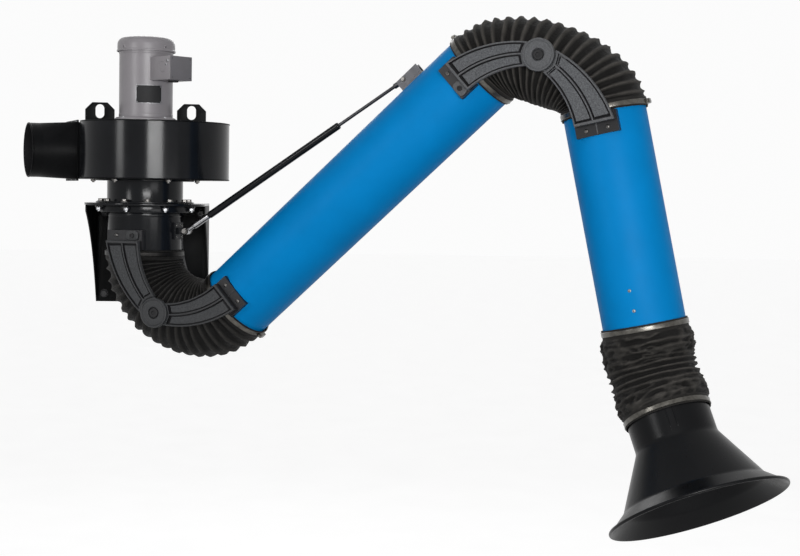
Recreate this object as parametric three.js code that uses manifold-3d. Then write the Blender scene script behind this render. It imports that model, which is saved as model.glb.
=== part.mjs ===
// Wall-mounted fume extraction arm: a fan on a wall bracket, a swivelling duct below it,
// two rigid tubes joined by ribbed elbows, and a hood on a universal joint.
// Millimetres, +Z up. The wall is the plane y = 0, and the object stands out from it towards -Y.

import * as THREE from 'three';
import { mergeVertices } from 'three/addons/utils/BufferGeometryUtils.js';
import loadManifold from 'manifold-3d';

const wasm = await loadManifold();
wasm.setup();

const degrees = Math.PI / 180;

// Clearances and faceting
const gap = 0.3;
const roundSides = 20;
const hoseSides = 16;
const pivotSides = 16;
const smallSides = 10;
const curveSteps = 6;
const overcut = 5;

// Duct, shared by the swivel, both tubes and the hood's neck
const ductDiameter = 203;
const ductWall = 1.6;

// Wall bracket
const axisFromWall = 300;
const plateWidth = 327;
const plateHeight = 284.6;
const plateThickness = 5;
const plateHoleDiameter = 13;
const plateHoleInset = 24;
const gussetThickness = 4;
const gussetReach = 288;
const gussetFrontHeight = 18;
const gussetCurveReach = 105;
const gussetCurveHeight = 187;
const shelfThickness = 6;

// Fan
const dischargeTurn = 18 * degrees;
const collarHeight = 64;
const collarWall = 3;
const collarFlangeWidth = 30;
const collarFlangeThickness = 4;
const fanHeight = 156;
const fanPlate = 3;
const wrapThickness = 3;
const cutoffRadius = 166;
const cutoffAngle = 140 * degrees;
const scrollEndAngle = 450 * degrees;
const scrollGrowthPerTurn = 108;
const scrollSteps = 24;
const outletLength = 162;
const outletWidth = 150;
const transitionLength = 125;
const spigotLength = 31;
const outletDiameter = 150;
const outletWall = 3;
const outletFlangeWidth = 6;
const outletFlangeThickness = 4;
const impellerRadius = 143;
const impellerEyeRadius = 96;
const impellerHeight = 84;
const impellerPlate = 3;
const impellerTopClearance = 30;
const bladeCount = 8;
const bladeLength = 74;
const bladeInnerRadius = 72;
const bladeThickness = 3;
const bladeLean = 38 * degrees;
const impellerHubRadius = 24;
const impellerHubHeight = 30;
const inletConeHeight = 26;
const lugWidth = 79;
const lugHeight = 52;
const lugThickness = 8;
const lugChamfer = 19;
const lugHoleWidth = 24;
const lugHoleHeight = 38;
const lugHoleLift = 9;
const lugFromAxis = 124;

// Motor
const motorDiameter = 145;
const motorWall = 4;
const motorFrameHeight = 183;
const motorFlangeRadius = 84;
const motorFlangeThickness = 12;
const bearingBossRadius = 26;
const bearingBossHeight = 18;
const endShieldThickness = 7;
const endShieldDepth = 12;
const statorHeight = 84;
const statorLift = 46;
const rotorCoreRadius = 44;
const airGap = 1;
const shaftRadius = 10;
const shaftTopReach = 30;
const coverDiameter = 159;
const coverWall = 2.5;
const coverHeight = 41;
const coverLap = 5;
const coverEdgeRadius = 16;
const coverPadWidth = 16;
const coverPadHeight = 8;
const coverPadCount = 4;
const coolingFanRadius = 56;
const coolingHubRadius = 16;
const coolingFanHeight = 18;
const coolingFanPlate = 3;
const coolingFanLift = 8;
const coolingBladeCount = 6;
const terminalBoxTurn = 44.5 * degrees;
const terminalBoxReach = 144;
const terminalBoxWidth = 76;
const terminalBoxHeight = 64;
const terminalBoxWall = 2.5;
const terminalBoxBelowFrameTop = 17;
const terminalCoverThickness = 3;

// Swivel
const armTurn = -26 * degrees;
const swivelDrop = 120;
const bearingDepth = 17.7;
const bearingWall = 6;
const bearingLipThickness = 4;
const bearingLipReach = 14;
const bearingBoreClearance = 4.5;
const swivelFlangeThickness = 7;

// Elbows: a pivot lies beyond the tube's end, on the inside of the bend
const pivotReach = 163;
const pivotOffset = 103;
const lowerElevation = 42 * degrees;
const lowerLength = 896;
const upperLean = 12.2 * degrees;
const upperLength = 518;

// Ribbed hoses
const cuffLength = 24;
const cuffWall = 2;
const tubeInCuff = 22;
const ribPeakRadius = 107;
const ribValleyRadius = 99;
const hoseBoreRadius = 95;
const elbowRibs = 18;
const hoodRibs = 9;
const shoulderFullness = 0.88;
const elbowFullness = 0.58;
const arcHandle = 4 / 3;
const ribsPerBoreRing = 5;
const clampWidth = 12;
const clampThickness = 1.5;
const clampSetback = 4;
const clampScrewLength = 30;
const clampScrewWidth = 9;

// Half-arms beside the elbows
const armInner = 112;
const armThickness = 12;
const armWeb = 5;
const armRib = 7;
const armCentreRib = 8;
const armSteps = 6;
const armFootLap = 26;
const pivotWidth = 54;
const outerArmFootWidth = 86;
const innerArmFootWidth = 98;
const pocketStart = 0.15;
const pocketEnd = 0.77;
const pivotDiscRadius = 40;
const pivotDiscThickness = 12;
const pivotEyeRadius = 30;
const pivotEyeThickness = 5.7;
const pivotClearance = 3;
const boltRadius = 8;
const boltHeadRadius = 13;
const boltHeadThickness = 5;
const boltRecessDepth = 6;
const boltNutThickness = 2.8;
const footLength = 54;
const footSetback = 2;
const footDepth = 5;
const footOverhang = 4;

// Gas spring
const springBaseReach = 130;
const springBaseHeight = 75;
const springTubePlace = 738;
const springTubeHeight = 124;
const springBarrelRadius = 9.5;
const springBarrelWall = 1.5;
const springBarrelStart = 82;
const springBarrelEnd = 530;
const springGland = 12;
const springRodRadius = 4.5;
const springRodInnerEnd = 330;
const springPistonLength = 14;
const springEyeRadius = 9;
const springEyeHalfWidth = 7;
const rodEyeRadius = 7;
const rodFittingLength = 34;
const rodFittingRadius = 7;
const stemRadius = 5;
const stemStart = 6.5;
const sleeveStart = 28;
const sleeveRadius = 7.5;
const springPinRadius = 4.5;
const earThickness = 4;
const bracketWidth = 40;
const bracketHeight = 46;
const bracketPlate = 6;
const saddleDepth = 10;
const tubeEarStart = 20;
const tubeEarEnd = 50;
const tubeEarClearance = 1.5;
const tubeEarRise = 7;
const tubeBaseStart = 26;

// Hood
const hoodReach = 120;
const hoodTilt = 12 * degrees;
const hoodSwing = 16 * degrees;
const hoodWall = 3;
const neckLength = 65;
const coneLength = 131;
const coneEndRadius = 174;
const lipLength = 40;
const rimRadius = 221;
const rimBead = 5;

// Universal joint inside the hood hose
const jointHalfWidth = 9;
const jointForkGap = 20;
const jointForkThickness = 4;
const jointPinRadius = 5;
const jointCoreRadius = 13;
const jointBarWidth = 25;
const jointBarThickness = 6;
const jointBarSetback = 20;

// Levels and radii that follow from the dimensions above
const ductRadius = ductDiameter / 2;
const ductBore = ductRadius - ductWall;
const plateTop = plateHeight / 2;
const shelfBottom = plateTop + gap;
const shelfTop = shelfBottom + shelfThickness;
const collarBottom = shelfTop + gap;
const collarTop = collarBottom + collarHeight;
const collarOuter = ductRadius + collarWall / 2;
const collarBore = collarOuter - collarWall;
const fanBottom = collarTop + gap;
const fanTop = fanBottom + fanHeight;
const impellerTop = fanTop - fanPlate - impellerTopClearance;
const impellerBottom = impellerTop - impellerHeight;
const motorRadius = motorDiameter / 2;
const motorBore = motorRadius - motorWall;
const motorFlangeBottom = fanTop + gap;
const frameBottom = motorFlangeBottom + motorFlangeThickness + gap;
const frameTop = frameBottom + motorFrameHeight;
const statorBottom = frameBottom + statorLift;
const swivelEnd = shelfBottom - swivelDrop;
const bearingTop = shelfBottom - gap;
const bearingBottom = bearingTop - bearingDepth;
const bearingBore = ductRadius + bearingBoreClearance;
const bearingOuter = bearingBore + bearingLipReach + bearingWall;
const cuffBore = (ductRadius + gap) / Math.cos(Math.PI / hoseSides);
const cuffOuter = cuffBore + cuffWall;
const clampInner = cuffOuter + gap;
const clampOuter = clampInner + clampThickness;
const armOuter = armInner + armThickness;
const armRun = pivotReach + footLength;
const armRadius = (armRun ** 2 + pivotOffset ** 2) / (2 * pivotOffset);
const armSweep = Math.atan2(armRun, armRadius - pivotOffset);
const footShare = Math.asin((footLength - armFootLap) / armRadius) / armSweep;
const discInner = armInner + pivotEyeThickness + 2 * gap;
const discOuter = discInner + pivotDiscThickness;
const shoulderBend = Math.PI / 2 + lowerElevation;
const elbowBend = lowerElevation + Math.PI / 2 - upperLean;

// Materials
function finish(color, roughness, metalness) {
  return new THREE.MeshStandardMaterial({ color, roughness, metalness });
}

const materials = {
  bluePaint: finish(0x0a7ac0, 0.25, 0.1),
  blackPaint: finish(0x15161a, 0.3, 0.2),
  greyPaint: finish(0x8f8d90, 0.45, 0.3),
  armCasting: finish(0x3c3f44, 0.7, 0.2),
  hoseFabric: finish(0x2a2a2c, 0.9, 0),
  bandSteel: finish(0xa39a86, 0.4, 0.9),
  zincSteel: finish(0xb9bcc0, 0.35, 0.9),
  castIron: finish(0x4a4a4c, 0.6, 0.7),
};

// Solids from three.js geometry
function solid(geometry) {
  const bare = geometry.clone();
  bare.deleteAttribute('normal');
  bare.deleteAttribute('uv');
  const merged = mergeVertices(bare);
  const corners = merged.index.array;
  const triangles = [];
  for (let i = 0; i < corners.length; i += 3) {
    const [a, b, c] = corners.slice(i, i + 3);
    if (a !== b && b !== c && c !== a) triangles.push(a, b, c);
  }
  const vertProperties = new Float32Array(merged.attributes.position.array);
  const shell = (list) => new wasm.Manifold(
    new wasm.Mesh({ numProp: 3, vertProperties, triVerts: new Uint32Array(list) }),
  );
  const body = shell(triangles);
  return body.volume() > 0 ? body : shell(triangles.reverse());
}

function join(first, ...others) {
  return others.reduce((whole, other) => whole.add(other), first);
}

function cut(first, ...others) {
  return others.reduce((rest, other) => rest.subtract(other), first);
}

function placed(body, matrix) {
  return body.transform(matrix.elements);
}

// A turned piece about Z, from [radius, height] points that close on themselves or lie on the axis.
function turned(profile, sides = roundSides) {
  const points = profile.map(([radius, height]) => new THREE.Vector2(radius, height));
  points.push(points[0].clone());
  return solid(new THREE.LatheGeometry(points, sides).rotateX(Math.PI / 2));
}

// The same, about X.
function turnedAlong(profile, sides = roundSides) {
  return placed(turned(profile, sides), new THREE.Matrix4().makeRotationY(Math.PI / 2));
}

// The radius at which a faceted bore clears a faceted round, however they are turned.
function clearOf(radius) {
  return (radius + gap) / Math.cos(Math.PI / roundSides);
}

// The radius of a faceted round that turns freely in a faceted bore.
function turnsIn(bore) {
  return bore * Math.cos(Math.PI / roundSides) - gap;
}

function pipe(inner, outer, low, high) {
  return [[inner, low], [outer, low], [outer, high], [inner, high]];
}

function rod(radius, low, high) {
  return [[0, low], [radius, low], [radius, high], [0, high]];
}

// A round bar along Y.
function crossBar(radius, low, high, x, z, sides = smallSides) {
  const bar = new THREE.CylinderGeometry(radius, radius, high - low, sides);
  return solid(bar.translate(x, (low + high) / 2, z));
}

function block([x0, x1], [y0, y1], [z0, z1]) {
  const box = new THREE.BoxGeometry(x1 - x0, y1 - y0, z1 - z0);
  return solid(box.translate((x0 + x1) / 2, (y0 + y1) / 2, (z0 + z1) / 2));
}

// A flat plate: an outline in XY, raised from low to high along Z.
function plate(shape, low, high, curveSegments = curveSteps) {
  const sheet = new THREE.ExtrudeGeometry(shape, { depth: high - low, bevelEnabled: false, curveSegments });
  return solid(sheet.translate(0, 0, low));
}

// An outline in XZ, between two depths along Y.
function slab(shape, near, far, curveSegments = curveSteps) {
  const [low, high] = [Math.min(near, far), Math.max(near, far)];
  const sheet = new THREE.ExtrudeGeometry(shape, { depth: high - low, bevelEnabled: false, curveSegments });
  return solid(sheet.rotateX(Math.PI / 2).translate(0, high, 0));
}

function outline(points) {
  return new THREE.Shape(points.map(([x, y]) => new THREE.Vector2(x, y)));
}

function rectangle([x0, x1], [y0, y1]) {
  return outline([[x0, y0], [x1, y0], [x1, y1], [x0, y1]]);
}

function circleHole(shape, x, y, radius) {
  const hole = new THREE.Path();
  hole.absarc(x, y, radius, 0, 2 * Math.PI, true);
  shape.holes.push(hole);
  return shape;
}

// A closed skin over a loop of rings with the same number of points each.
function skin(rings) {
  const sides = rings[0].length;
  const positions = rings.flatMap((ring) => ring.flatMap((point) => point.toArray()));
  const triangles = [];
  rings.forEach((ring, i) => {
    const here = i * sides;
    const next = ((i + 1) % rings.length) * sides;
    for (let k = 0; k < sides; k += 1) {
      const turn = (k + 1) % sides;
      triangles.push(here + k, next + k, next + turn, here + k, next + turn, here + turn);
    }
  });
  const geometry = new THREE.BufferGeometry();
  geometry.setAttribute('position', new THREE.Float32BufferAttribute(positions, 3));
  geometry.setIndex(triangles);
  return solid(geometry);
}

// Scene graph
function add(parent, name, body, material) {
  const { vertProperties, triVerts } = body.getMesh();
  const geometry = new THREE.BufferGeometry();
  geometry.setAttribute('position', new THREE.BufferAttribute(vertProperties, 3));
  geometry.setIndex(new THREE.BufferAttribute(triVerts, 1));
  geometry.computeVertexNormals();
  const mesh = new THREE.Mesh(geometry, material);
  mesh.name = name;
  parent.add(mesh);
}

function frameIn(parent, position, rotation = [0, 0, 0]) {
  const group = new THREE.Group();
  group.position.set(...position);
  group.rotation.set(...rotation);
  parent.add(group);
  return group;
}

const part = new THREE.Group();
const fan = frameIn(part, [0, -axisFromWall, 0]);
const scroll = frameIn(fan, [0, 0, 0], [0, 0, dischargeTurn]);
const swivel = frameIn(part, [0, -axisFromWall, 0], [0, 0, armTurn]);

// The arm's frames: X runs along each tube, Y across the arm, and the near side is -Y.
const shoulder = [pivotOffset, 0, swivelEnd - pivotReach];
const along = (angle, x, z) => [
  x * Math.cos(angle) - z * Math.sin(angle),
  0,
  x * Math.sin(angle) + z * Math.cos(angle),
];
const plus = (a, b) => a.map((value, i) => value + b[i]);
const lowerStart = plus(shoulder, along(lowerElevation, pivotReach, -pivotOffset));
const elbow = plus(lowerStart, along(lowerElevation, lowerLength + pivotReach, -pivotOffset));
const upperElevation = upperLean - Math.PI / 2;
const upperStart = plus(elbow, along(upperElevation, pivotReach, pivotOffset));
const swivelFrame = frameIn(swivel, [0, 0, swivelEnd], [0, Math.PI / 2, 0]);
const lower = frameIn(swivel, lowerStart, [0, -lowerElevation, 0]);
const upper = frameIn(swivel, upperStart, [0, -upperElevation, 0]);
const hoodJoint = frameIn(upper, [upperLength + hoodReach, 0, 0], [0, -hoodTilt, 0]);
const hoodFrame = frameIn(hoodJoint, [0, 0, 0], [0, 0, -hoodSwing]);

// Wall bracket
function wallBracket() {
  const half = plateWidth / 2;
  const holeX = half - plateHoleInset;
  const holeZ = plateTop - plateHoleInset;
  const back = rectangle([-half, half], [-plateTop, plateTop]);
  for (const x of [-holeX, holeX]) {
    for (const z of [-holeZ, holeZ]) circleHole(back, x, z, plateHoleDiameter / 2);
  }
  const side = new THREE.Shape();
  side.moveTo(0, -plateTop);
  side.lineTo(0, plateTop);
  side.lineTo(-gussetReach, plateTop);
  side.lineTo(-gussetReach, plateTop - gussetFrontHeight);
  side.quadraticCurveTo(
    -gussetCurveReach, gussetCurveHeight - plateTop,
    -plateThickness, -plateTop,
  );
  const gusset = plate(side, 0, gussetThickness);
  const upright = new THREE.Matrix4().makeBasis(
    new THREE.Vector3(0, 1, 0), new THREE.Vector3(0, 0, 1), new THREE.Vector3(1, 0, 0),
  );
  const shifted = (x) => placed(placed(gusset, upright), new THREE.Matrix4().makeTranslation(x, 0, 0));
  return join(slab(back, -plateThickness, 0), shifted(-half), shifted(half - gussetThickness));
}

function bracketShelf() {
  const half = plateWidth / 2;
  const shape = new THREE.Shape();
  shape.moveTo(half, 0);
  shape.lineTo(-half, 0);
  shape.lineTo(-half, -axisFromWall);
  shape.absarc(0, -axisFromWall, half, Math.PI, 2 * Math.PI, false);
  shape.lineTo(half, 0);
  circleHole(shape, 0, -axisFromWall, collarBore);
  return plate(shape, shelfBottom, shelfTop);
}

add(part, 'wall_bracket', wallBracket(), materials.blackPaint);
add(part, 'bracket_shelf', bracketShelf(), materials.blackPaint);

// Fan housing: the scroll grows steadily from its cut-off to the outlet.
const scrollRadius = (angle) => cutoffRadius + scrollGrowthPerTurn * (angle - cutoffAngle) / (2 * Math.PI);
const outletFar = scrollRadius(scrollEndAngle);
const outletNear = outletFar - outletWidth;
const outletMiddle = (outletFar + outletNear) / 2;

function scrollEdge(inset) {
  const points = [];
  for (let i = 0; i <= scrollSteps; i += 1) {
    const angle = cutoffAngle + (scrollEndAngle - cutoffAngle) * i / scrollSteps;
    const radius = scrollRadius(angle) - inset;
    points.push([radius * Math.cos(angle), radius * Math.sin(angle)]);
  }
  return points;
}

function scrollOutline() {
  return outline([...scrollEdge(0), [-outletLength, outletFar], [-outletLength, outletNear]]);
}

function scrollBand() {
  const inner = scrollEdge(wrapThickness).reverse();
  const tongue = [inner.at(-1)[0] + wrapThickness, outletNear + wrapThickness];
  return outline([
    ...scrollEdge(0),
    [-outletLength, outletFar],
    [-outletLength, outletFar - wrapThickness],
    ...inner,
    tongue,
    [-outletLength, outletNear + wrapThickness],
    [-outletLength, outletNear],
  ]);
}

function inletCollar() {
  const flange = collarOuter + collarFlangeWidth;
  return turned([
    [collarBore, collarBottom],
    [flange, collarBottom],
    [flange, collarBottom + collarFlangeThickness],
    [collarOuter, collarBottom + collarFlangeThickness],
    [collarOuter, collarTop - collarFlangeThickness],
    [flange, collarTop - collarFlangeThickness],
    [flange, collarTop],
    [collarBore, collarTop],
  ]);
}

function fanBottomPlate() {
  const floor = plate(scrollOutline(), fanBottom, fanBottom + fanPlate);
  const eye = impellerEyeRadius - fanPlate;
  const well = turned(rod(eye, fanBottom - overcut, fanBottom + inletConeHeight + overcut));
  const cone = turned(pipe(eye - fanPlate, eye, fanBottom, fanBottom + inletConeHeight));
  return join(cut(floor, well), cone);
}

function fanTopPlate() {
  const roof = plate(scrollOutline(), fanTop - fanPlate, fanTop);
  return cut(roof, turned(rod(impellerHubRadius + overcut, fanTop - fanPlate - overcut, fanTop + overcut)));
}

// A square flange that runs into a round spigot.
function outletTransition() {
  const middle = fanBottom + fanHeight / 2;
  const ringAt = (x, halfWidth, halfHeight, radius, round) => {
    const points = [];
    for (let k = 0; k < roundSides; k += 1) {
      const angle = 2 * Math.PI * (k + 0.5) / roundSides;
      const reach = Math.min(halfWidth / Math.abs(Math.cos(angle)), halfHeight / Math.abs(Math.sin(angle)));
      const distance = round ? radius : reach;
      points.push(new THREE.Vector3(
        x, outletMiddle + distance * Math.cos(angle), middle + distance * Math.sin(angle),
      ));
    }
    return points;
  };
  const halfWidth = outletWidth / 2;
  const halfHeight = fanHeight / 2;
  const radius = outletDiameter / 2;
  const start = -outletLength - gap;
  const spigot = start - transitionLength;
  const rim = spigot + spigotLength;
  const square = (x, grow) => ringAt(x, halfWidth + grow, halfHeight + grow, 0, false);
  const round = (x, grow) => ringAt(x, 0, 0, radius + grow, true);
  return skin([
    square(start, outletFlangeWidth),
    square(start - outletFlangeThickness, outletFlangeWidth),
    square(start - outletFlangeThickness, 0),
    round(rim, 0),
    round(spigot, 0),
    round(spigot, -outletWall),
    round(rim, -outletWall),
    square(start - outletFlangeThickness, -outletWall),
    square(start, -outletWall),
  ]);
}

function liftingLug() {
  const half = lugWidth / 2;
  const holeRadius = lugHoleWidth / 2;
  const shape = outline([
    [-half, 0], [half, 0], [half, lugHeight - lugChamfer], [half - lugChamfer, lugHeight],
    [lugChamfer - half, lugHeight], [-half, lugHeight - lugChamfer],
  ]);
  const hole = new THREE.Path();
  hole.absarc(0, lugHoleLift + holeRadius, holeRadius, Math.PI, 2 * Math.PI, false);
  hole.absarc(0, lugHoleLift + lugHoleHeight - holeRadius, holeRadius, 0, Math.PI, false);
  shape.holes.push(hole);
  return slab(shape, -lugThickness / 2, lugThickness / 2);
}

function impeller() {
  const eye = impellerEyeRadius + gap;
  const wheel = join(
    turned(pipe(shaftRadius + gap, impellerRadius, impellerTop - impellerPlate, impellerTop)),
    turned(pipe(shaftRadius + gap, impellerHubRadius, impellerTop - impellerHubHeight, impellerTop)),
    turned(pipe(eye, impellerRadius, impellerBottom, impellerBottom + impellerPlate)),
  );
  const blade = block(
    [0, bladeLength],
    [-bladeThickness / 2, bladeThickness / 2],
    [impellerBottom + impellerPlate / 2, impellerTop - impellerPlate / 2],
  );
  const blades = [];
  for (let i = 0; i < bladeCount; i += 1) {
    const matrix = new THREE.Matrix4().makeRotationZ(2 * Math.PI * i / bladeCount);
    matrix.multiply(new THREE.Matrix4().makeTranslation(bladeInnerRadius, 0, 0));
    matrix.multiply(new THREE.Matrix4().makeRotationZ(-bladeLean));
    blades.push(placed(blade, matrix));
  }
  return join(wheel, ...blades);
}

add(fan, 'inlet_collar', inletCollar(), materials.blackPaint);
add(scroll, 'fan_bottom_plate', fanBottomPlate(), materials.blackPaint);
add(scroll, 'fan_scroll_wrap', plate(scrollBand(), fanBottom + fanPlate + gap, fanTop - fanPlate - gap),
  materials.blackPaint);
add(scroll, 'fan_top_plate', fanTopPlate(), materials.blackPaint);
add(scroll, 'outlet_transition', outletTransition(), materials.blackPaint);
for (const [name, x] of [['lifting_lug_left', -lugFromAxis], ['lifting_lug_right', lugFromAxis]]) {
  add(frameIn(fan, [x, 0, fanTop + gap]), name, liftingLug(), materials.blackPaint);
}
add(fan, 'impeller', impeller(), materials.castIron);

// Motor
const shieldTop = frameTop - endShieldDepth;
const coverBottom = frameTop - coverLap;
const coverTop = coverBottom + coverHeight;
const coverBevel = coverEdgeRadius * (1 - Math.SQRT1_2);
const shaftTop = shieldTop + shaftTopReach;

function motorEndPlate() {
  const boss = motorFlangeBottom + motorFlangeThickness + bearingBossHeight;
  return turned([
    [shaftRadius + gap, motorFlangeBottom],
    [motorFlangeRadius, motorFlangeBottom],
    [motorFlangeRadius, motorFlangeBottom + motorFlangeThickness],
    [bearingBossRadius, motorFlangeBottom + motorFlangeThickness],
    [bearingBossRadius, boss],
    [shaftRadius + gap, boss],
  ]);
}

function motorEndShield() {
  const bottom = shieldTop - endShieldThickness;
  return turned([
    [shaftRadius + gap, bottom - bearingBossHeight],
    [bearingBossRadius, bottom - bearingBossHeight],
    [bearingBossRadius, bottom],
    [motorBore - gap, bottom],
    [motorBore - gap, shieldTop],
    [shaftRadius + gap, shieldTop],
  ]);
}

function motorRotor() {
  return turned([
    [0, impellerTop - impellerHubHeight],
    [shaftRadius, impellerTop - impellerHubHeight],
    [shaftRadius, statorBottom],
    [rotorCoreRadius, statorBottom],
    [rotorCoreRadius, statorBottom + statorHeight],
    [shaftRadius, statorBottom + statorHeight],
    [shaftRadius, shaftTop],
    [0, shaftTop],
  ]);
}

function motorFanCover() {
  const outer = coverDiameter / 2;
  const inner = outer - coverWall;
  const shell = turned([
    [inner, coverBottom],
    [outer, coverBottom],
    [outer, coverTop - coverEdgeRadius],
    [outer - coverBevel, coverTop - coverBevel],
    [outer - coverEdgeRadius, coverTop],
    [0, coverTop],
    [0, coverTop - coverWall],
    [outer - coverEdgeRadius, coverTop - coverWall],
    [inner - coverBevel, coverTop - coverBevel - coverWall],
    [inner, coverTop - coverEdgeRadius],
  ]);
  const pad = cut(
    block([motorRadius - overcut, outer - coverWall / 2], [-coverPadWidth / 2, coverPadWidth / 2],
      [coverBottom, coverBottom + coverPadHeight]),
    turned(rod(motorRadius + gap, coverBottom - overcut, coverBottom + coverPadHeight + overcut)),
  );
  const pads = [];
  for (let i = 0; i < coverPadCount; i += 1) {
    pads.push(placed(pad, new THREE.Matrix4().makeRotationZ(2 * Math.PI * i / coverPadCount)));
  }
  return join(shell, ...pads);
}

function coolingFan() {
  const bottom = shieldTop + coolingFanLift;
  const disc = turned(pipe(shaftRadius + gap, coolingFanRadius, bottom, bottom + coolingFanPlate));
  const hub = turned(pipe(shaftRadius + gap, coolingHubRadius, bottom, bottom + coolingFanHeight));
  const blade = block([coolingHubRadius - coolingFanPlate / 2, coolingFanRadius],
    [-coolingFanPlate / 2, coolingFanPlate / 2],
    [bottom + coolingFanPlate / 2, bottom + coolingFanHeight]);
  const blades = [];
  for (let i = 0; i < coolingBladeCount; i += 1) {
    blades.push(placed(blade, new THREE.Matrix4().makeRotationZ(2 * Math.PI * i / coolingBladeCount)));
  }
  return join(disc, hub, ...blades);
}

// The terminal box reaches out along X in its own frame.
const boxTop = coverBottom - terminalBoxBelowFrameTop;
const boxBottom = boxTop - terminalBoxHeight;

function terminalBox() {
  const half = terminalBoxWidth / 2;
  const end = terminalBoxReach - terminalCoverThickness - gap;
  const hollow = clearOf(motorRadius) + terminalBoxWall;
  const outer = block([0, end], [-half, half], [boxBottom, boxTop]);
  const inner = block([0, end + overcut], [terminalBoxWall - half, half - terminalBoxWall],
    [boxBottom + terminalBoxWall, boxTop - terminalBoxWall]);
  const keep = turned(rod(hollow, boxBottom - overcut, boxTop + overcut));
  const motor = turned(rod(clearOf(motorRadius), boxBottom - overcut, boxTop + overcut));
  return cut(outer, cut(inner, keep), motor);
}

function terminalBoxCover() {
  const half = terminalBoxWidth / 2;
  return block([terminalBoxReach - terminalCoverThickness, terminalBoxReach], [-half, half],
    [boxBottom, boxTop]);
}

add(fan, 'motor_end_plate', motorEndPlate(), materials.greyPaint);
add(fan, 'motor_frame', turned(pipe(motorBore, motorRadius, frameBottom, frameTop)), materials.greyPaint);
add(fan, 'motor_end_shield', motorEndShield(), materials.castIron);
add(fan, 'motor_stator',
  turned(pipe(rotorCoreRadius + airGap, motorBore - gap, statorBottom, statorBottom + statorHeight)),
  materials.castIron);
add(fan, 'motor_rotor', motorRotor(), materials.zincSteel);
add(fan, 'motor_fan_cover', motorFanCover(), materials.greyPaint);
add(fan, 'cooling_fan', coolingFan(), materials.castIron);
const boxFrame = frameIn(fan, [0, 0, 0], [0, 0, terminalBoxTurn - Math.PI / 2]);
add(boxFrame, 'terminal_box', terminalBox(), materials.greyPaint);
add(boxFrame, 'terminal_box_cover', terminalBoxCover(), materials.greyPaint);

// Swivel: the duct's flange turns on the bearing's lip.
function swivelBearing() {
  const race = bearingOuter - bearingWall;
  const lipTop = bearingBottom + bearingLipThickness;
  return turned([
    [bearingBore, bearingBottom],
    [bearingOuter, bearingBottom],
    [bearingOuter, bearingTop],
    [race, bearingTop],
    [race, lipTop],
    [bearingBore, lipTop],
  ]);
}

function swivelDuct() {
  const flangeBottom = bearingBottom + bearingLipThickness + gap;
  const flangeTop = flangeBottom + swivelFlangeThickness;
  const flange = turnsIn(bearingOuter - bearingWall);
  const end = swivelEnd - tubeInCuff;
  return turned([
    [ductBore, end],
    [ductRadius, end],
    [ductRadius, flangeBottom],
    [flange, flangeBottom],
    [flange, flangeTop],
    [ductBore, flangeTop],
  ]);
}

add(fan, 'swivel_bearing', swivelBearing(), materials.blackPaint);
add(swivel, 'swivel_duct', swivelDuct(), materials.blackPaint);

// Hose: straight cuffs at both ends, and ribs along a curve that bends towards +Z. A fullness of 1 is nearly
// a round arc. Less draws the curve towards the straight line between the cuffs, and the rings still turn evenly.
function hose(bend, reach, ribs, fullness = 1) {
  const handle = fullness * reach * arcHandle * Math.tan(bend / 4) / Math.tan(bend / 2);
  const start = new THREE.Vector3(cuffLength, 0, 0);
  const away = new THREE.Vector3(Math.cos(bend), 0, Math.sin(bend));
  const end = new THREE.Vector3(cuffLength + reach, 0, 0).addScaledVector(away, reach);
  const curve = new THREE.CubicBezierCurve3(
    start,
    new THREE.Vector3(cuffLength + handle, 0, 0),
    end.clone().addScaledVector(away, -handle),
    end,
  );
  const ringAt = (share, size, beyond = 0) => {
    const angle = bend * share;
    const forward = new THREE.Vector3(Math.cos(angle), 0, Math.sin(angle));
    const inside = new THREE.Vector3(-Math.sin(angle), 0, Math.cos(angle));
    const centre = curve.getPoint(share).addScaledVector(forward, beyond);
    const points = [];
    for (let k = 0; k < hoseSides; k += 1) {
      const turn = 2 * Math.PI * k / hoseSides;
      const point = centre.clone().addScaledVector(inside, size * Math.sin(turn));
      points.push(point.add(new THREE.Vector3(0, size * Math.cos(turn), 0)));
    }
    return points;
  };
  const rings = [ringAt(0, cuffOuter, -cuffLength), ringAt(0, cuffOuter)];
  for (let i = 0; i < ribs; i += 1) {
    rings.push(ringAt((i + 0.5) / (ribs + 0.5), ribValleyRadius));
    rings.push(ringAt((i + 1) / (ribs + 0.5), ribPeakRadius));
  }
  rings.push(ringAt(1, cuffOuter), ringAt(1, cuffOuter, cuffLength));
  rings.push(ringAt(1, cuffBore, cuffLength), ringAt(1, cuffBore));
  const boreRings = Math.ceil(ribs / ribsPerBoreRing);
  for (let i = boreRings; i >= 0; i -= 1) rings.push(ringAt(i / boreRings, hoseBoreRadius));
  rings.push(ringAt(0, cuffBore), ringAt(0, cuffBore, -cuffLength));
  return skin(rings);
}

// Clamp band on a cuff that begins at x = 0, with its screw on the -Z side.
function hoseClamp() {
  const band = turnedAlong(pipe(clampInner, clampOuter, clampSetback, clampSetback + clampWidth), hoseSides);
  const screw = block(
    [clampSetback, clampSetback + clampWidth],
    [-clampScrewLength / 2, clampScrewLength / 2],
    [-clampOuter - clampScrewWidth, -clampOuter + clampThickness / 2],
  );
  return join(band, cut(screw, turnedAlong(rod(clampInner, 0, 2 * clampWidth + clampSetback), hoseSides)));
}

// Half-arms: X leaves the tube's end, Z points to the inside of the bend, and side picks +Y or -Y.
// The arc leaves the tube's line at the foot's far end, and the arm is cut square over the foot.
function armEdge(turn, offset) {
  return [
    (armRadius + offset) * Math.sin(turn) - footLength,
    armRadius - (armRadius + offset) * Math.cos(turn),
  ];
}

function armStrip(from, to, innerOffset, outerOffset) {
  const outer = [];
  const inner = [];
  for (let i = 0; i <= armSteps; i += 1) {
    const share = from + (to - from) * i / armSteps;
    outer.push(armEdge(share * armSweep, outerOffset(share)));
    inner.push(armEdge(share * armSweep, innerOffset(share)));
  }
  return [outer, inner.reverse()];
}

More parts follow.
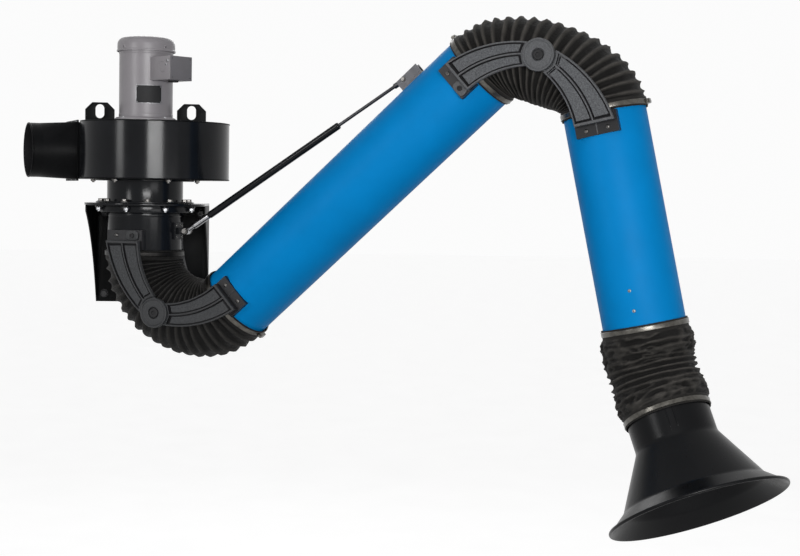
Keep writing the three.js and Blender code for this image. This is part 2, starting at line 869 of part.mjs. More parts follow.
function halfArm(footWidth, side, carriesDisc) {
  const halfAt = (share) => (footWidth + (pivotWidth - footWidth) * (share - footShare) / (1 - footShare)) / 2;
  const [outer, inner] = armStrip(0, 1, (share) => -halfAt(share), halfAt);
  const sheet = slab(outline([...outer, ...inner]), side * armInner, side * armOuter);
  const past = armOuter + overcut;
  const strip = cut(sheet, block([-footLength - footWidth, -armFootLap], [-past, past], [-footWidth, footWidth]));
  const pocket = (low, high) => {
    const [far, near] = armStrip(pocketStart, pocketEnd, low, high);
    return slab(outline([...far, ...near]), side * (armInner + armWeb), side * (armOuter + overcut));
  };
  const panels = [
    pocket(() => armCentreRib / 2, (share) => halfAt(share) - armRib),
    pocket((share) => armRib - halfAt(share), () => -armCentreRib / 2),
  ];
  const drum = (radius, low, high) => {
    const [near, far] = [side * low, side * high];
    return crossBar(radius, Math.min(near, far), Math.max(near, far), pivotReach, pivotOffset, pivotSides);
  };
  const bolt = drum(boltRadius + gap, armInner - overcut, discOuter + overcut);
  if (carriesDisc) {
    const room = drum(pivotDiscRadius, armInner - overcut, discInner);
    const disc = drum(pivotDiscRadius, discInner, discOuter);
    const recess = drum(boltHeadRadius + gap, discOuter - boltRecessDepth, discOuter + overcut);
    return cut(join(cut(strip, room, ...panels), disc), bolt, recess);
  }
  const eyeTop = armInner + pivotEyeThickness;
  const room = drum(pivotDiscRadius + pivotClearance, eyeTop, armOuter + overcut);
  return cut(join(cut(strip, room, ...panels), drum(pivotEyeRadius, armInner, eyeTop)), bolt);
}

function armFoot(armFootWidth, side) {
  const half = armFootWidth / 2 + footOverhang;
  const seat = armInner - gap;
  const low = ductRadius * Math.cos(Math.asin(half / ductRadius)) - footDepth;
  const span = (top) => [Math.min(side * low, side * top), Math.max(side * low, side * top)];
  const pad = block([-footLength, -footSetback], span(ductRadius + footDepth), [-half, half]);
  const step = block([-armFootLap, -footSetback], span(seat), [-armFootWidth / 2, armFootWidth / 2]);
  const tube = turnedAlong(rod(ductRadius + gap, -footLength - overcut, overcut));
  return cut(join(pad, step), tube);
}

function pivotBolt(side) {
  const drum = (radius, low, high) => {
    const [near, far] = [side * low, side * high];
    return crossBar(radius, Math.min(near, far), Math.max(near, far), pivotReach, pivotOffset);
  };
  const head = discOuter - boltRecessDepth + gap;
  const nut = armInner - gap;
  return join(
    drum(boltRadius, nut - boltNutThickness, head + boltHeadThickness),
    drum(boltHeadRadius, head, head + boltHeadThickness),
    drum(boltHeadRadius, nut - boltNutThickness, nut),
  );
}

// The four tube ends that meet at the two elbows.
const tubeEnds = [
  { name: 'shoulder_upper', frame: swivelFrame, carriesDisc: false, near: -1 },
  { name: 'shoulder_lower', frame: frameIn(lower, [0, 0, 0], [0, 0, Math.PI]), carriesDisc: true, near: 1 },
  {
    name: 'elbow_lower',
    frame: frameIn(lower, [lowerLength, 0, 0], [Math.PI, 0, 0]),
    carriesDisc: true,
    near: 1,
  },
  { name: 'elbow_upper', frame: frameIn(upper, [0, 0, 0], [0, Math.PI, 0]), carriesDisc: false, near: -1 },
];
for (const { name, frame, carriesDisc, near } of tubeEnds) {
  const footWidth = carriesDisc ? outerArmFootWidth : innerArmFootWidth;
  for (const [where, side] of [['near', near], ['far', -near]]) {
    add(frame, `${name}_arm_${where}`, halfArm(footWidth, side, carriesDisc), materials.armCasting);
    add(frame, `${name}_foot_${where}`, armFoot(footWidth, side), materials.blackPaint);
    if (carriesDisc) {
      const bolt = `${name.split('_')[0]}_pivot_bolt_${where}`;
      add(frame, bolt, pivotBolt(side), materials.zincSteel);
    }
  }
  add(frame, `${name}_hose_clamp`, hoseClamp(), materials.bandSteel);
}

// Tubes and elbow hoses
const tube = (length) => turnedAlong(pipe(ductBore, ductRadius, -tubeInCuff, length + tubeInCuff));
add(lower, 'lower_tube', tube(lowerLength), materials.bluePaint);
add(upper, 'upper_tube', tube(upperLength), materials.bluePaint);
const bendReach = (bend) => pivotReach + pivotOffset * Math.tan(bend / 2) - cuffLength;
const shoulderHose = hose(shoulderBend, bendReach(shoulderBend), elbowRibs, shoulderFullness);
const elbowHose = hose(elbowBend, bendReach(elbowBend), elbowRibs, elbowFullness);
add(swivelFrame, 'shoulder_hose', shoulderHose, materials.hoseFabric);
add(frameIn(lower, [lowerLength, 0, 0], [Math.PI, 0, 0]), 'elbow_hose', elbowHose, materials.hoseFabric);

// Gas spring: hinged on the swivel duct, with its rod's eye between the ears on the lower tube.
const springBase = [springBaseReach, 0, springBaseHeight];
const springTop = plus(lowerStart, along(lowerElevation, springTubePlace, springTubeHeight));
const springRise = Math.atan2(springTop[2] - springBase[2], springTop[0] - springBase[0]);
const springLength = Math.hypot(springTop[0] - springBase[0], springTop[2] - springBase[2]);
const springFrame = frameIn(swivel, springBase, [0, -springRise, 0]);

function springBaseBracket() {
  const earGap = springEyeHalfWidth + gap;
  const front = ductRadius + bracketPlate;
  const base = block([ductRadius - saddleDepth, front], [-bracketWidth / 2, bracketWidth / 2],
    [springBaseHeight - bracketHeight / 2, springBaseHeight + bracketHeight / 2]);
  const earShape = rectangle([front - bracketPlate / 2, springBaseReach],
    [springBaseHeight - springEyeRadius, springBaseHeight + springEyeRadius]);
  const ear = (low, high) => join(
    slab(earShape, low, high),
    crossBar(springEyeRadius, low, high, springBaseReach, springBaseHeight),
  );
  const low = springBaseHeight - bracketHeight;
  const high = springBaseHeight + bracketHeight;
  const outer = earGap + earThickness;
  return join(
    cut(base, turned(rod(ductRadius + gap, low, high))),
    ear(earGap, outer),
    ear(-outer, -earGap),
    crossBar(springPinRadius, -outer, outer, springBaseReach, springBaseHeight),
  );
}

function springBarrel() {
  const bore = springBarrelRadius - springBarrelWall;
  const eye = cut(
    crossBar(springEyeRadius, -springEyeHalfWidth, springEyeHalfWidth, 0, 0),
    crossBar(springPinRadius + gap, -springEyeHalfWidth - overcut, springEyeHalfWidth + overcut, 0, 0),
  );
  const body = turnedAlong([
    [0, stemStart],
    [stemRadius, stemStart],
    [stemRadius, sleeveStart],
    [sleeveRadius, sleeveStart],
    [sleeveRadius, springBarrelStart],
    [springBarrelRadius, springBarrelStart],
    [springBarrelRadius, springBarrelEnd],
    [springRodRadius + gap, springBarrelEnd],
    [springRodRadius + gap, springBarrelEnd - springGland],
    [bore, springBarrelEnd - springGland],
    [bore, springBarrelStart + springGland],
    [0, springBarrelStart + springGland],
  ], smallSides);
  return join(eye, body);
}

function springRod() {
  const bore = springBarrelRadius - springBarrelWall;
  const fitting = springLength - rodFittingLength;
  const shank = turnedAlong([
    [0, springRodInnerEnd],
    [bore - gap, springRodInnerEnd],
    [bore - gap, springRodInnerEnd + springPistonLength],
    [springRodRadius, springRodInnerEnd + springPistonLength],
    [springRodRadius, fitting],
    [rodFittingRadius, fitting],
    [rodFittingRadius, springLength - rodEyeRadius / 2],
    [0, springLength - rodEyeRadius / 2],
  ], smallSides);
  return join(shank, crossBar(rodEyeRadius, -springEyeHalfWidth, springEyeHalfWidth, springLength, 0));
}

// Two ears on a saddle, open below the eye so that it can pass.
function springTubeBracket() {
  const earGap = springEyeHalfWidth + tubeEarClearance;
  const low = ductRadius - saddleDepth;
  const top = springTubeHeight + tubeEarRise;
  const side = (y0, y1) => block([springTubePlace - tubeEarStart, springTubePlace + tubeEarEnd],
    [Math.min(y0, y1), Math.max(y0, y1)], [low, top]);
  const base = block(
    [springTubePlace + tubeBaseStart, springTubePlace + tubeEarEnd],
    [-bracketWidth / 2, bracketWidth / 2],
    [low, ductRadius + bracketPlate],
  );
  const duct = turnedAlong(rod(ductRadius + gap, 0, lowerLength));
  return cut(
    join(base, side(earGap, earGap + earThickness), side(-earGap, -earGap - earThickness)),
    duct,
  );
}

add(swivel, 'gas_spring_base_bracket', springBaseBracket(), materials.blackPaint);
add(springFrame, 'gas_spring_barrel', springBarrel(), materials.blackPaint);
add(springFrame, 'gas_spring_rod', springRod(), materials.zincSteel);
add(lower, 'gas_spring_tube_bracket', springTubeBracket(), materials.blackPaint);

// Hood hose: its bend lies in the plane of the upper tube and the hood's axis.
const hoodDirection = new THREE.Vector3(
  Math.cos(hoodSwing) * Math.cos(hoodTilt), -Math.sin(hoodSwing), Math.cos(hoodSwing) * Math.sin(hoodTilt),
);
const hoodBend = Math.acos(hoodDirection.x);
const hoodRoll = Math.atan2(-hoodDirection.y, hoodDirection.z);
const hoodHoseFrame = frameIn(upper, [upperLength, 0, 0], [hoodRoll, 0, 0]);
add(hoodHoseFrame, 'hood_hose', hose(hoodBend, hoodReach - cuffLength, hoodRibs), materials.hoseFabric);
add(hoodHoseFrame, 'hood_hose_clamp_upper', hoseClamp(), materials.bandSteel);
const hoodHoseEnd = frameIn(hoodHoseFrame, [hoodReach, 0, 0], [0, -hoodBend, 0]);
add(frameIn(hoodHoseEnd, [hoodReach, 0, 0], [0, 0, Math.PI]), 'hood_hose_clamp_lower', hoseClamp(),
  materials.bandSteel);

// Universal joint inside the hood hose
const quarterTurn = new THREE.Matrix4().makeRotationX(Math.PI / 2);

function jointFork(barStart, barEnd, bore) {
  const bar = block([barStart, barEnd], [-ductRadius, ductRadius],
    [-jointBarThickness / 2, jointBarThickness / 2]);
  const wall = turnedAlong(rod(bore - gap, Math.min(barStart, barEnd), Math.max(barStart, barEnd)));
  const reach = [Math.min(barStart, 0), Math.max(barEnd, 0)];
  const cheekShape = rectangle(reach, [-jointHalfWidth, jointHalfWidth]);
  const cheek = (low, high) => join(
    slab(cheekShape, low, high),
    crossBar(jointHalfWidth, low, high, 0, 0),
  );
  const outer = jointForkGap + jointForkThickness;
  const pin = crossBar(jointPinRadius + gap, -outer - overcut, outer + overcut, 0, 0);
  return cut(
    join(bar.intersect(wall), cheek(jointForkGap, outer), cheek(-outer, -jointForkGap)),
    pin,
  );
}

function jointCross() {
  const reach = jointForkGap + jointForkThickness;
  const pin = crossBar(jointPinRadius, -reach, reach, 0, 0);
  const core = solid(new THREE.SphereGeometry(jointCoreRadius, smallSides, curveSteps));
  return join(core, pin, placed(pin, quarterTurn));
}

const mountBar = -hoodReach - jointBarSetback;
const yokeBar = hoodReach + jointBarSetback;
add(frameIn(upper, [upperLength + hoodReach, 0, 0]), 'hood_joint_mount',
  jointFork(mountBar - jointBarWidth, mountBar, ductBore), materials.zincSteel);
add(hoodJoint, 'hood_joint_cross', jointCross(), materials.zincSteel);
const yoke = jointFork(yokeBar, yokeBar + jointBarWidth, ductRadius - hoodWall);
add(hoodFrame, 'hood_joint_yoke', placed(yoke, quarterTurn), materials.zincSteel);

// Hood: neck, cone and an outward lip with a rolled rim
function hood() {
  const start = hoodReach - tubeInCuff;
  const shoulderAt = hoodReach + neckLength;
  const coneEnd = shoulderAt + coneLength;
  const rim = coneEnd + lipLength;
  const bore = ductRadius - hoodWall;
  return turnedAlong([
    [bore, start],
    [ductRadius, start],
    [ductRadius, shoulderAt],
    [coneEndRadius, coneEnd],
    [rimRadius - rimBead, rim - 2 * rimBead],
    [rimRadius, rim - rimBead],
    [rimRadius - rimBead, rim],
    [rimRadius - 2 * rimBead, rim - rimBead],
    [coneEndRadius - hoodWall, coneEnd + hoodWall],
    [bore, shoulderAt + hoodWall],
  ]);
}

add(hoodFrame, 'hood', hood(), materials.blackPaint);

export default part;
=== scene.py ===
import math

import bmesh
import bpy
from mathutils import Matrix, Vector, noise


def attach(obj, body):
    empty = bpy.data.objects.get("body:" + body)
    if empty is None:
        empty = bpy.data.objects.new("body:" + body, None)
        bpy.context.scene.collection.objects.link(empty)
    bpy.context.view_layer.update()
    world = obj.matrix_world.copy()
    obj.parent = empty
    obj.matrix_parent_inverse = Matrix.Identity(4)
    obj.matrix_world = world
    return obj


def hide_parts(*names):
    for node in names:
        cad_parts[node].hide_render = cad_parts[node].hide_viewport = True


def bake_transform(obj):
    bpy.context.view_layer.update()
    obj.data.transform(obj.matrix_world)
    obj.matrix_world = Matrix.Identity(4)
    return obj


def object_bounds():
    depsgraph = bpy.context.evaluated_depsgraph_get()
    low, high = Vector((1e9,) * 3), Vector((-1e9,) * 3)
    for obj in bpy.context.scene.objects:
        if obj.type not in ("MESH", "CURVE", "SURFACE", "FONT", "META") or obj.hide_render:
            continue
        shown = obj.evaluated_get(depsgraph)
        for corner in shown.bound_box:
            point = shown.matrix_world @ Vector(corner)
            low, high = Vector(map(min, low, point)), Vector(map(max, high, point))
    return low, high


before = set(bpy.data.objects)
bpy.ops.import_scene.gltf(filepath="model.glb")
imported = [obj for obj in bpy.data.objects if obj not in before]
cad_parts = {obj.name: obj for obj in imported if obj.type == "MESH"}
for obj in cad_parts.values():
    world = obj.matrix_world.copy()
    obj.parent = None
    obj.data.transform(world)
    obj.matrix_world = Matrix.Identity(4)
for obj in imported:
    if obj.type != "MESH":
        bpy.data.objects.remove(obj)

cad_low, cad_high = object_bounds()

# The object's dimensions, in millimetres, as in the CAD source
MM = 0.001
GAP = 0.3
DUCT = 101.5
DUCT_WALL = 1.6
AXIS_FROM_WALL = 300
PLATE_WIDTH = 327
PLATE_HEIGHT = 284.6
PLATE_TOP = PLATE_HEIGHT / 2
SHELF_BOTTOM = PLATE_TOP + GAP
SHELF_TOP = SHELF_BOTTOM + 6
COLLAR_BOTTOM = SHELF_TOP + GAP
COLLAR_TOP = COLLAR_BOTTOM + 64
COLLAR_OUTER = DUCT + 1.5
COLLAR_FLANGE = COLLAR_OUTER + 30
FAN_BOTTOM = COLLAR_TOP + GAP
FAN_TOP = FAN_BOTTOM + 156
FAN_MIDDLE = (FAN_BOTTOM + FAN_TOP) / 2
DISCHARGE_TURN = math.radians(18)
CUTOFF_RADIUS = 166
CUTOFF_ANGLE = math.radians(140)
SCROLL_END = math.radians(450)
SCROLL_GROWTH = 108
OUTLET_LENGTH = 162
OUTLET_WIDTH = 150
OUTLET_RADIUS = 75
TRANSITION = 125
SPIGOT = 31
MOTOR_RADIUS = 72.5
MOTOR_BOTTOM = FAN_TOP + GAP
FRAME_BOTTOM = MOTOR_BOTTOM + 12 + GAP
FRAME_TOP = FRAME_BOTTOM + 183
COVER_RADIUS = 79.5
COVER_BOTTOM = FRAME_TOP - 5
COVER_TOP = COVER_BOTTOM + 41
BOX_TURN = math.radians(44.5)
BOX_REACH = 144
BOX_HALF = 38
BOX_TOP = COVER_BOTTOM - 17
BOX_BOTTOM = BOX_TOP - 64
ARM_TURN = math.radians(-26)
SWIVEL_END = SHELF_BOTTOM - 120
BEARING_TOP = SHELF_BOTTOM - GAP
BEARING_BOTTOM = BEARING_TOP - 17.7
BEARING_BORE = DUCT + 4.5
BEARING_OUTER = BEARING_BORE + 20
PIVOT_REACH = 163
PIVOT_OFFSET = 103
LOWER_RISE = math.radians(42)
LOWER_LENGTH = 896
UPPER_LEAN = math.radians(12.2)
UPPER_LENGTH = 518
CUFF = 24
TUBE_IN_CUFF = 22
RIB_PEAK = 107
RIB_VALLEY = 96.5
CUFF_OUTER = 105.8
ELBOW_RIBS = 18
HOOD_RIBS = 9
SHOULDER_FULLNESS = 0.88
ELBOW_FULLNESS = 0.58
ARM_INNER = 112
ARM_THICK = 12
ARM_LAP = 26
FOOT_LENGTH = 54
ARM_RUN = PIVOT_REACH + FOOT_LENGTH
ARM_RADIUS = (ARM_RUN ** 2 + PIVOT_OFFSET ** 2) / (2 * PIVOT_OFFSET)
ARM_SWEEP = math.atan2(ARM_RUN, ARM_RADIUS - PIVOT_OFFSET)
FOOT_SHARE = math.asin((FOOT_LENGTH - ARM_LAP) / ARM_RADIUS) / ARM_SWEEP
PIVOT_WIDTH = 54
OUTER_FOOT = 86
INNER_FOOT = 98
DISC_RADIUS = 40
DISC_INNER = ARM_INNER + 6.3
DISC_OUTER = DISC_INNER + 12
SPRING_REACH = 130
SPRING_HEIGHT = 75
SPRING_PLACE = 738
SPRING_LIFT = 124
HOOD_REACH = 120
HOOD_TILT = math.radians(12)
HOOD_SWING = math.radians(16)
NECK = 65
CONE = 131
LIP = 40
CONE_RADIUS = 174
RIM_RADIUS = 221
ROUND = 96
WORLD_LIGHT = 0.24


def turn(axis, angle):
    return Matrix.Rotation(angle, 4, axis)


def move(x, y=0.0, z=0.0):
    return Matrix.Translation((x, y, z))


def along(angle, x, z):
    return Vector((x * math.cos(angle) - z * math.sin(angle), 0, x * math.sin(angle) + z * math.cos(angle)))


# The same frames as in the CAD source: X runs along each tube, Y across the arm
FAN = move(0, -AXIS_FROM_WALL)
SCROLL = FAN @ turn("Z", DISCHARGE_TURN)
BOX = FAN @ turn("Z", BOX_TURN - math.pi / 2)
SWIVEL = FAN @ turn("Z", ARM_TURN)
SWIVEL_FRAME = SWIVEL @ move(0, 0, SWIVEL_END) @ turn("Y", math.pi / 2)
shoulder_point = Vector((PIVOT_OFFSET, 0, SWIVEL_END - PIVOT_REACH))
lower_start = shoulder_point + along(LOWER_RISE, PIVOT_REACH, -PIVOT_OFFSET)
elbow_point = lower_start + along(LOWER_RISE, LOWER_LENGTH + PIVOT_REACH, -PIVOT_OFFSET)
upper_rise = UPPER_LEAN - math.pi / 2
upper_start = elbow_point + along(upper_rise, PIVOT_REACH, PIVOT_OFFSET)
LOWER = SWIVEL @ Matrix.Translation(lower_start) @ turn("Y", -LOWER_RISE)
UPPER = SWIVEL @ Matrix.Translation(upper_start) @ turn("Y", -upper_rise)
HOOD_JOINT = UPPER @ move(UPPER_LENGTH + HOOD_REACH) @ turn("Y", -HOOD_TILT)
HOOD = HOOD_JOINT @ turn("Z", -HOOD_SWING)
spring_base = Vector((SPRING_REACH, 0, SPRING_HEIGHT))
spring_top = lower_start + along(LOWER_RISE, SPRING_PLACE, SPRING_LIFT)
spring_line = spring_top - spring_base
SPRING_LENGTH = spring_line.length
SPRING = SWIVEL @ Matrix.Translation(spring_base) @ turn("Y", -math.atan2(spring_line.z, spring_line.x))
ALONG_X = turn("Y", math.pi / 2)
ENDS = {
    "shoulder_upper": (SWIVEL_FRAME, "swivel", False, -1),
    "shoulder_lower": (LOWER @ turn("Z", math.pi), "lower_arm", True, 1),
    "elbow_lower": (LOWER @ move(LOWER_LENGTH) @ turn("X", math.pi), "lower_arm", True, 1),
    "elbow_upper": (UPPER @ turn("Y", math.pi), "upper_arm", False, -1),
}


# Materials
def new_material(name):
    material = bpy.data.materials.new(name)
    material.use_nodes = True
    tree = material.node_tree
    shader = tree.nodes["Principled BSDF"]
    return material, tree, shader


def link(tree, source, socket, target, into):
    tree.links.new(source.outputs[socket], target.inputs[into])


def coordinates(tree, kind="Object", scale=(1, 1, 1)):
    texture = tree.nodes.new("ShaderNodeTexCoord")
    mapping = tree.nodes.new("ShaderNodeMapping")
    mapping.inputs["Scale"].default_value = scale
    link(tree, texture, kind, mapping, "Vector")
    return mapping


def noise_node(tree, place, scale, detail=3.0, roughness=0.55):
    node = tree.nodes.new("ShaderNodeTexNoise")
    node.inputs["Scale"].default_value = scale
    node.inputs["Detail"].default_value = detail
    node.inputs["Roughness"].default_value = roughness
    link(tree, place, "Vector", node, "Vector")
    return node


def ramp(tree, source, socket, stops):
    node = tree.nodes.new("ShaderNodeValToRGB")
    for spare in range(len(stops) - 2):
        node.color_ramp.elements.new(0.5)
    for element, (position, color) in zip(node.color_ramp.elements, stops):
        element.position = position
        element.color = (*color, 1)
    link(tree, source, socket, node, "Fac")
    return node


def spread(tree, source, socket, low, high):
    node = tree.nodes.new("ShaderNodeMapRange")
    node.inputs["To Min"].default_value = low
    node.inputs["To Max"].default_value = high
    link(tree, source, socket, node, "Value")
    return node


def bump(tree, shader, source, socket, strength, distance, onto=None):
    node = tree.nodes.new("ShaderNodeBump")
    node.inputs["Strength"].default_value = strength
    node.inputs["Distance"].default_value = distance
    link(tree, source, socket, node, "Height")
    if onto is not None:
        link(tree, onto, "Normal", node, "Normal")
    link(tree, node, "Normal", shader, "Normal")
    return node


def shade(color, factor):
    return tuple(min(1.0, value * factor) for value in color)


# Paint or plastic: cloudy colour, smudged gloss, and an orange peel or a moulded grain
def coated(name, color, rough, peel_size, peel_depth, vary=0.12, gloss_level=0.5, metallic=0.0, smudge=0.1):
    material, tree, shader = new_material(name)
    place = coordinates(tree)
    cloud = noise_node(tree, place, 9.0, 4.0)
    tint = ramp(tree, cloud, "Fac", [(0.3, shade(color, 1 - vary)), (0.7, shade(color, 1 + vary))])
    link(tree, tint, "Color", shader, "Base Color")
    smear = noise_node(tree, coordinates(tree, scale=(1, 1, 0.35)), 28.0, 5.0, 0.65)
    gloss = spread(tree, smear, "Fac", max(0.03, rough - smudge), rough + smudge)
    link(tree, gloss, "Result", shader, "Roughness")
    peel = noise_node(tree, place, 1 / peel_size, 2.0)
    bump(tree, shader, peel, "Fac", 0.35, peel_depth)
    shader.inputs["Metallic"].default_value = metallic
    shader.inputs["Specular IOR Level"].default_value = gloss_level
    return material


# Bare or plated metal: fine brushing along one direction and a cloudy tarnish
def plated(name, color, rough, brush=(1, 1, 12), vary=0.18):
    material, tree, shader = new_material(name)
    cloud = noise_node(tree, coordinates(tree), 60.0, 4.0)
    tint = ramp(tree, cloud, "Fac", [(0.3, shade(color, 1 - vary)), (0.7, shade(color, 1 + vary))])
    link(tree, tint, "Color", shader, "Base Color")
    grain = noise_node(tree, coordinates(tree, scale=brush), 220.0, 3.0)
    gloss = spread(tree, grain, "Fac", rough - 0.1, rough + 0.14)
    link(tree, gloss, "Result", shader, "Roughness")
    bump(tree, shader, grain, "Fac", 0.2, 0.0002)
    shader.inputs["Metallic"].default_value = 1.0
    return material


# Stippled casting: a coarse leather grain with paler tips
def stippled(name, color, tips, grain_size, depth, rough):
    material, tree, shader = new_material(name)
    place = coordinates(tree)
    cells = tree.nodes.new("ShaderNodeTexVoronoi")
    cells.inputs["Scale"].default_value = 1 / grain_size
    link(tree, place, "Vector", cells, "Vector")
    cloud = noise_node(tree, place, 1 / (grain_size * 1.6), 5.0, 0.7)
    tint = ramp(tree, cloud, "Fac", [(0.36, color), (0.68, tips)])
    link(tree, tint, "Color", shader, "Base Color")
    first = bump(tree, shader, cells, "Distance", 0.5, depth)
    bump(tree, shader, cloud, "Fac", 0.6, depth, first)
    gloss = spread(tree, cloud, "Fac", rough - 0.08, rough + 0.12)
    link(tree, gloss, "Result", shader, "Roughness")
    shader.inputs["Specular IOR Level"].default_value = 0.3
    return material


# Coated cloth of the hoses: a plain weave, paler along the wires and on fold crests, partly wear and partly a painted
# highlight, with dusty patches
def hose_cloth(name, color, ridge_wear_and_highlight, threads_round, threads_along):
    material, tree, shader = new_material(name)
    weave_place = coordinates(tree, "UV", (threads_round, threads_along, 1))
    warp = tree.nodes.new("ShaderNodeTexWave")
    warp.bands_direction = "X"
    warp.inputs["Scale"].default_value = 0.314
    link(tree, weave_place, "Vector", warp, "Vector")
    weft = tree.nodes.new("ShaderNodeTexWave")
    weft.bands_direction = "Y"
    weft.inputs["Scale"].default_value = 0.314
    link(tree, weave_place, "Vector", weft, "Vector")
    weave = tree.nodes.new("ShaderNodeMath")
    weave.operation = "MAXIMUM"
    link(tree, warp, "Fac", weave, 0)
    link(tree, weft, "Fac", weave, 1)
    patch_place = coordinates(tree, "UV", (9, 7, 1))
    patch = noise_node(tree, patch_place, 2.0, 6.0, 0.62)
    ridge = tree.nodes.new("ShaderNodeAttribute")
    ridge.attribute_name = "ridge"
    wear_and_highlight_mask = tree.nodes.new("ShaderNodeMath")
    wear_and_highlight_mask.operation = "MULTIPLY"
    link(tree, ridge, "Fac", wear_and_highlight_mask, 0)
    link(tree, patch, "Fac", wear_and_highlight_mask, 1)
    # Paler colour on the ridges: partly wear, partly a painted highlight on the wires and fold crests
    tint = ramp(tree, wear_and_highlight_mask, "Value", [(0.05, color), (0.62, ridge_wear_and_highlight)])
    link(tree, tint, "Color", shader, "Base Color")
    crease = noise_node(tree, coordinates(tree, "UV", (30, 40, 1)), 2.5, 4.0, 0.6)
    first = bump(tree, shader, crease, "Fac", 0.55, 0.004)
    bump(tree, shader, weave, "Value", 0.35, 0.0005, first)
    gloss = spread(tree, patch, "Fac", 0.5, 0.85)
    link(tree, gloss, "Result", shader, "Roughness")
    shader.inputs["Specular IOR Level"].default_value = 0.1
    shader.inputs["Sheen Weight"].default_value = 0.02
    shader.inputs["Sheen Roughness"].default_value = 0.4
    return material


BLUE = coated("blue_paint", (0.0, 0.19, 0.49), 0.5, 0.006, 0.0003, 0.05, 0.06)
BLACK = coated("black_paint", (0.006, 0.0065, 0.0078), 0.17, 0.004, 0.0002, 0.25, 0.115, 0.0, 0.05)
BLACK_INSIDE = coated("black_inside", (0.005, 0.005, 0.006), 0.7, 0.003, 0.0004, 0.3, 0.2)
BLACK_DULL = coated("black_sheet", (0.0032, 0.0034, 0.0038), 0.42, 0.004, 0.0003, 0.25, 0.045)
HOOD_BLACK = coated("hood_plastic", (0.0036, 0.0038, 0.0044), 0.3, 0.008, 0.0003, 0.2, 0.095)
GREY = coated("grey_enamel", (0.215, 0.203, 0.215), 0.36, 0.003, 0.0003, 0.08, 0.36, 0.0, 0.06)
# Darker copy of the grey enamel for the box lid: painted shade on the side turned away from the light
GREY_SHADED = coated("grey_box_enamel_painted_shade", (0.125, 0.12, 0.128), 0.46, 0.003, 0.0004, 0.08, 0.3)
CASTING = stippled("arm_casting", (0.04, 0.0415, 0.0445), (0.104, 0.107, 0.113), 0.0016, 0.0006, 0.5)
# Darker copies of the casting and panel for the shoulder's half-arms: painted shade where the shoulder lies under the
# fan
CASTING_SHADED = stippled("arm_casting_painted_shade", (0.0095, 0.01, 0.011), (0.03, 0.0315, 0.034), 0.0016, 0.0006, 0.45)
PANEL_SHADED = stippled("arm_panel_painted_shade", (0.0115, 0.012, 0.0132), (0.046, 0.0485, 0.052), 0.0020, 0.0011, 0.55)
PANEL = stippled("arm_panel", (0.036, 0.038, 0.042), (0.12, 0.125, 0.132), 0.0020, 0.0011, 0.6)
# Near-black grooves of the half-arms: painted shade in the recesses
GROOVE_SHADE = coated("arm_groove_painted_shade", (0.009, 0.009, 0.01), 0.6, 0.002, 0.0005, 0.2, 0.15)
FOOT = coated("foot_paint", (0.008, 0.008, 0.0095), 0.38, 0.003, 0.0004, 0.25, 0.25)
ZINC = plated("zinc_steel", (0.25, 0.253, 0.262), 0.34)
SCREW = plated("dark_screws", (0.13, 0.125, 0.12), 0.34)
CHROME = plated("chromed_steel", (0.33, 0.33, 0.34), 0.24, (1, 1, 1), 0.2)
ROD_STEEL = plated("rod_steel", (0.045, 0.045, 0.048), 0.3, (1, 1, 1), 0.1)
BAND = plated("band_steel", (0.085, 0.081, 0.073), 0.28, (1, 1, 30), 0.4)
# Near-black copy of the band steel for the clamp at the swivel: painted shade
BAND_SHADED = plated("band_steel_painted_shade", (0.014, 0.0135, 0.013), 0.45, (1, 1, 30), 0.3)
PLATE_METAL = plated("blank_plate", (0.3, 0.3, 0.31), 0.36, (1, 1, 40), 0.08)
IRON = coated("cast_iron", (0.06, 0.06, 0.064), 0.6, 0.003, 0.0008, 0.2, 0.5, 0.6)
DARK_RUBBER = coated("dark_rubber", (0.01, 0.01, 0.011), 0.62, 0.002, 0.0005, 0.2, 0.25)
# Darker copy of the hose cloth for the shoulder's hose: painted shade
CLOTH_SHADED = hose_cloth("hose_cloth_painted_shade", (0.0034, 0.0033, 0.0032), (0.036, 0.0345, 0.0325), 620, 360)
CLOTH = hose_cloth("hose_cloth", (0.0058, 0.0055, 0.0052), (0.076, 0.071, 0.065), 620, 360)


# Mesh building: several shapes gathered into one piece
class Gather:
    def __init__(self):
        self.verts = []
        self.faces = []
        self.paints = []

    def add(self, shape, place=None, paint=0):
        verts, faces = shape
        base = len(self.verts)
        for vert in verts:
            self.verts.append(place @ Vector(vert) if place is not None else Vector(vert))
        for face in faces:
            self.faces.append([base + index for index in face])
            self.paints.append(paint)
        return self

    def piece(self, name, body, place, materials, stands_for=(), slot=None, crease=32):
        mesh = bpy.data.meshes.new(name)
        mesh.from_pydata([(place @ vert) * MM for vert in self.verts], [], self.faces)
        for material in materials:
            mesh.materials.append(material)
        mesh.polygons.foreach_set("material_index", self.paints)
        tidy = bmesh.new()
        tidy.from_mesh(mesh)
        bmesh.ops.remove_doubles(tidy, verts=tidy.verts, dist=0.00001)
        bmesh.ops.dissolve_degenerate(tidy, edges=tidy.edges, dist=0.000005)
        bmesh.ops.recalc_face_normals(tidy, faces=tidy.faces)
        tidy.to_mesh(mesh)
        tidy.free()
        mesh.shade_smooth()
        mesh.set_sharp_from_angle(angle=math.radians(crease))
        item = bpy.data.objects.new(name, mesh)
        bpy.context.scene.collection.objects.link(item)
        if body is not None:
            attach(item, body)
        if stands_for:
            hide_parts(*stands_for)
        return item


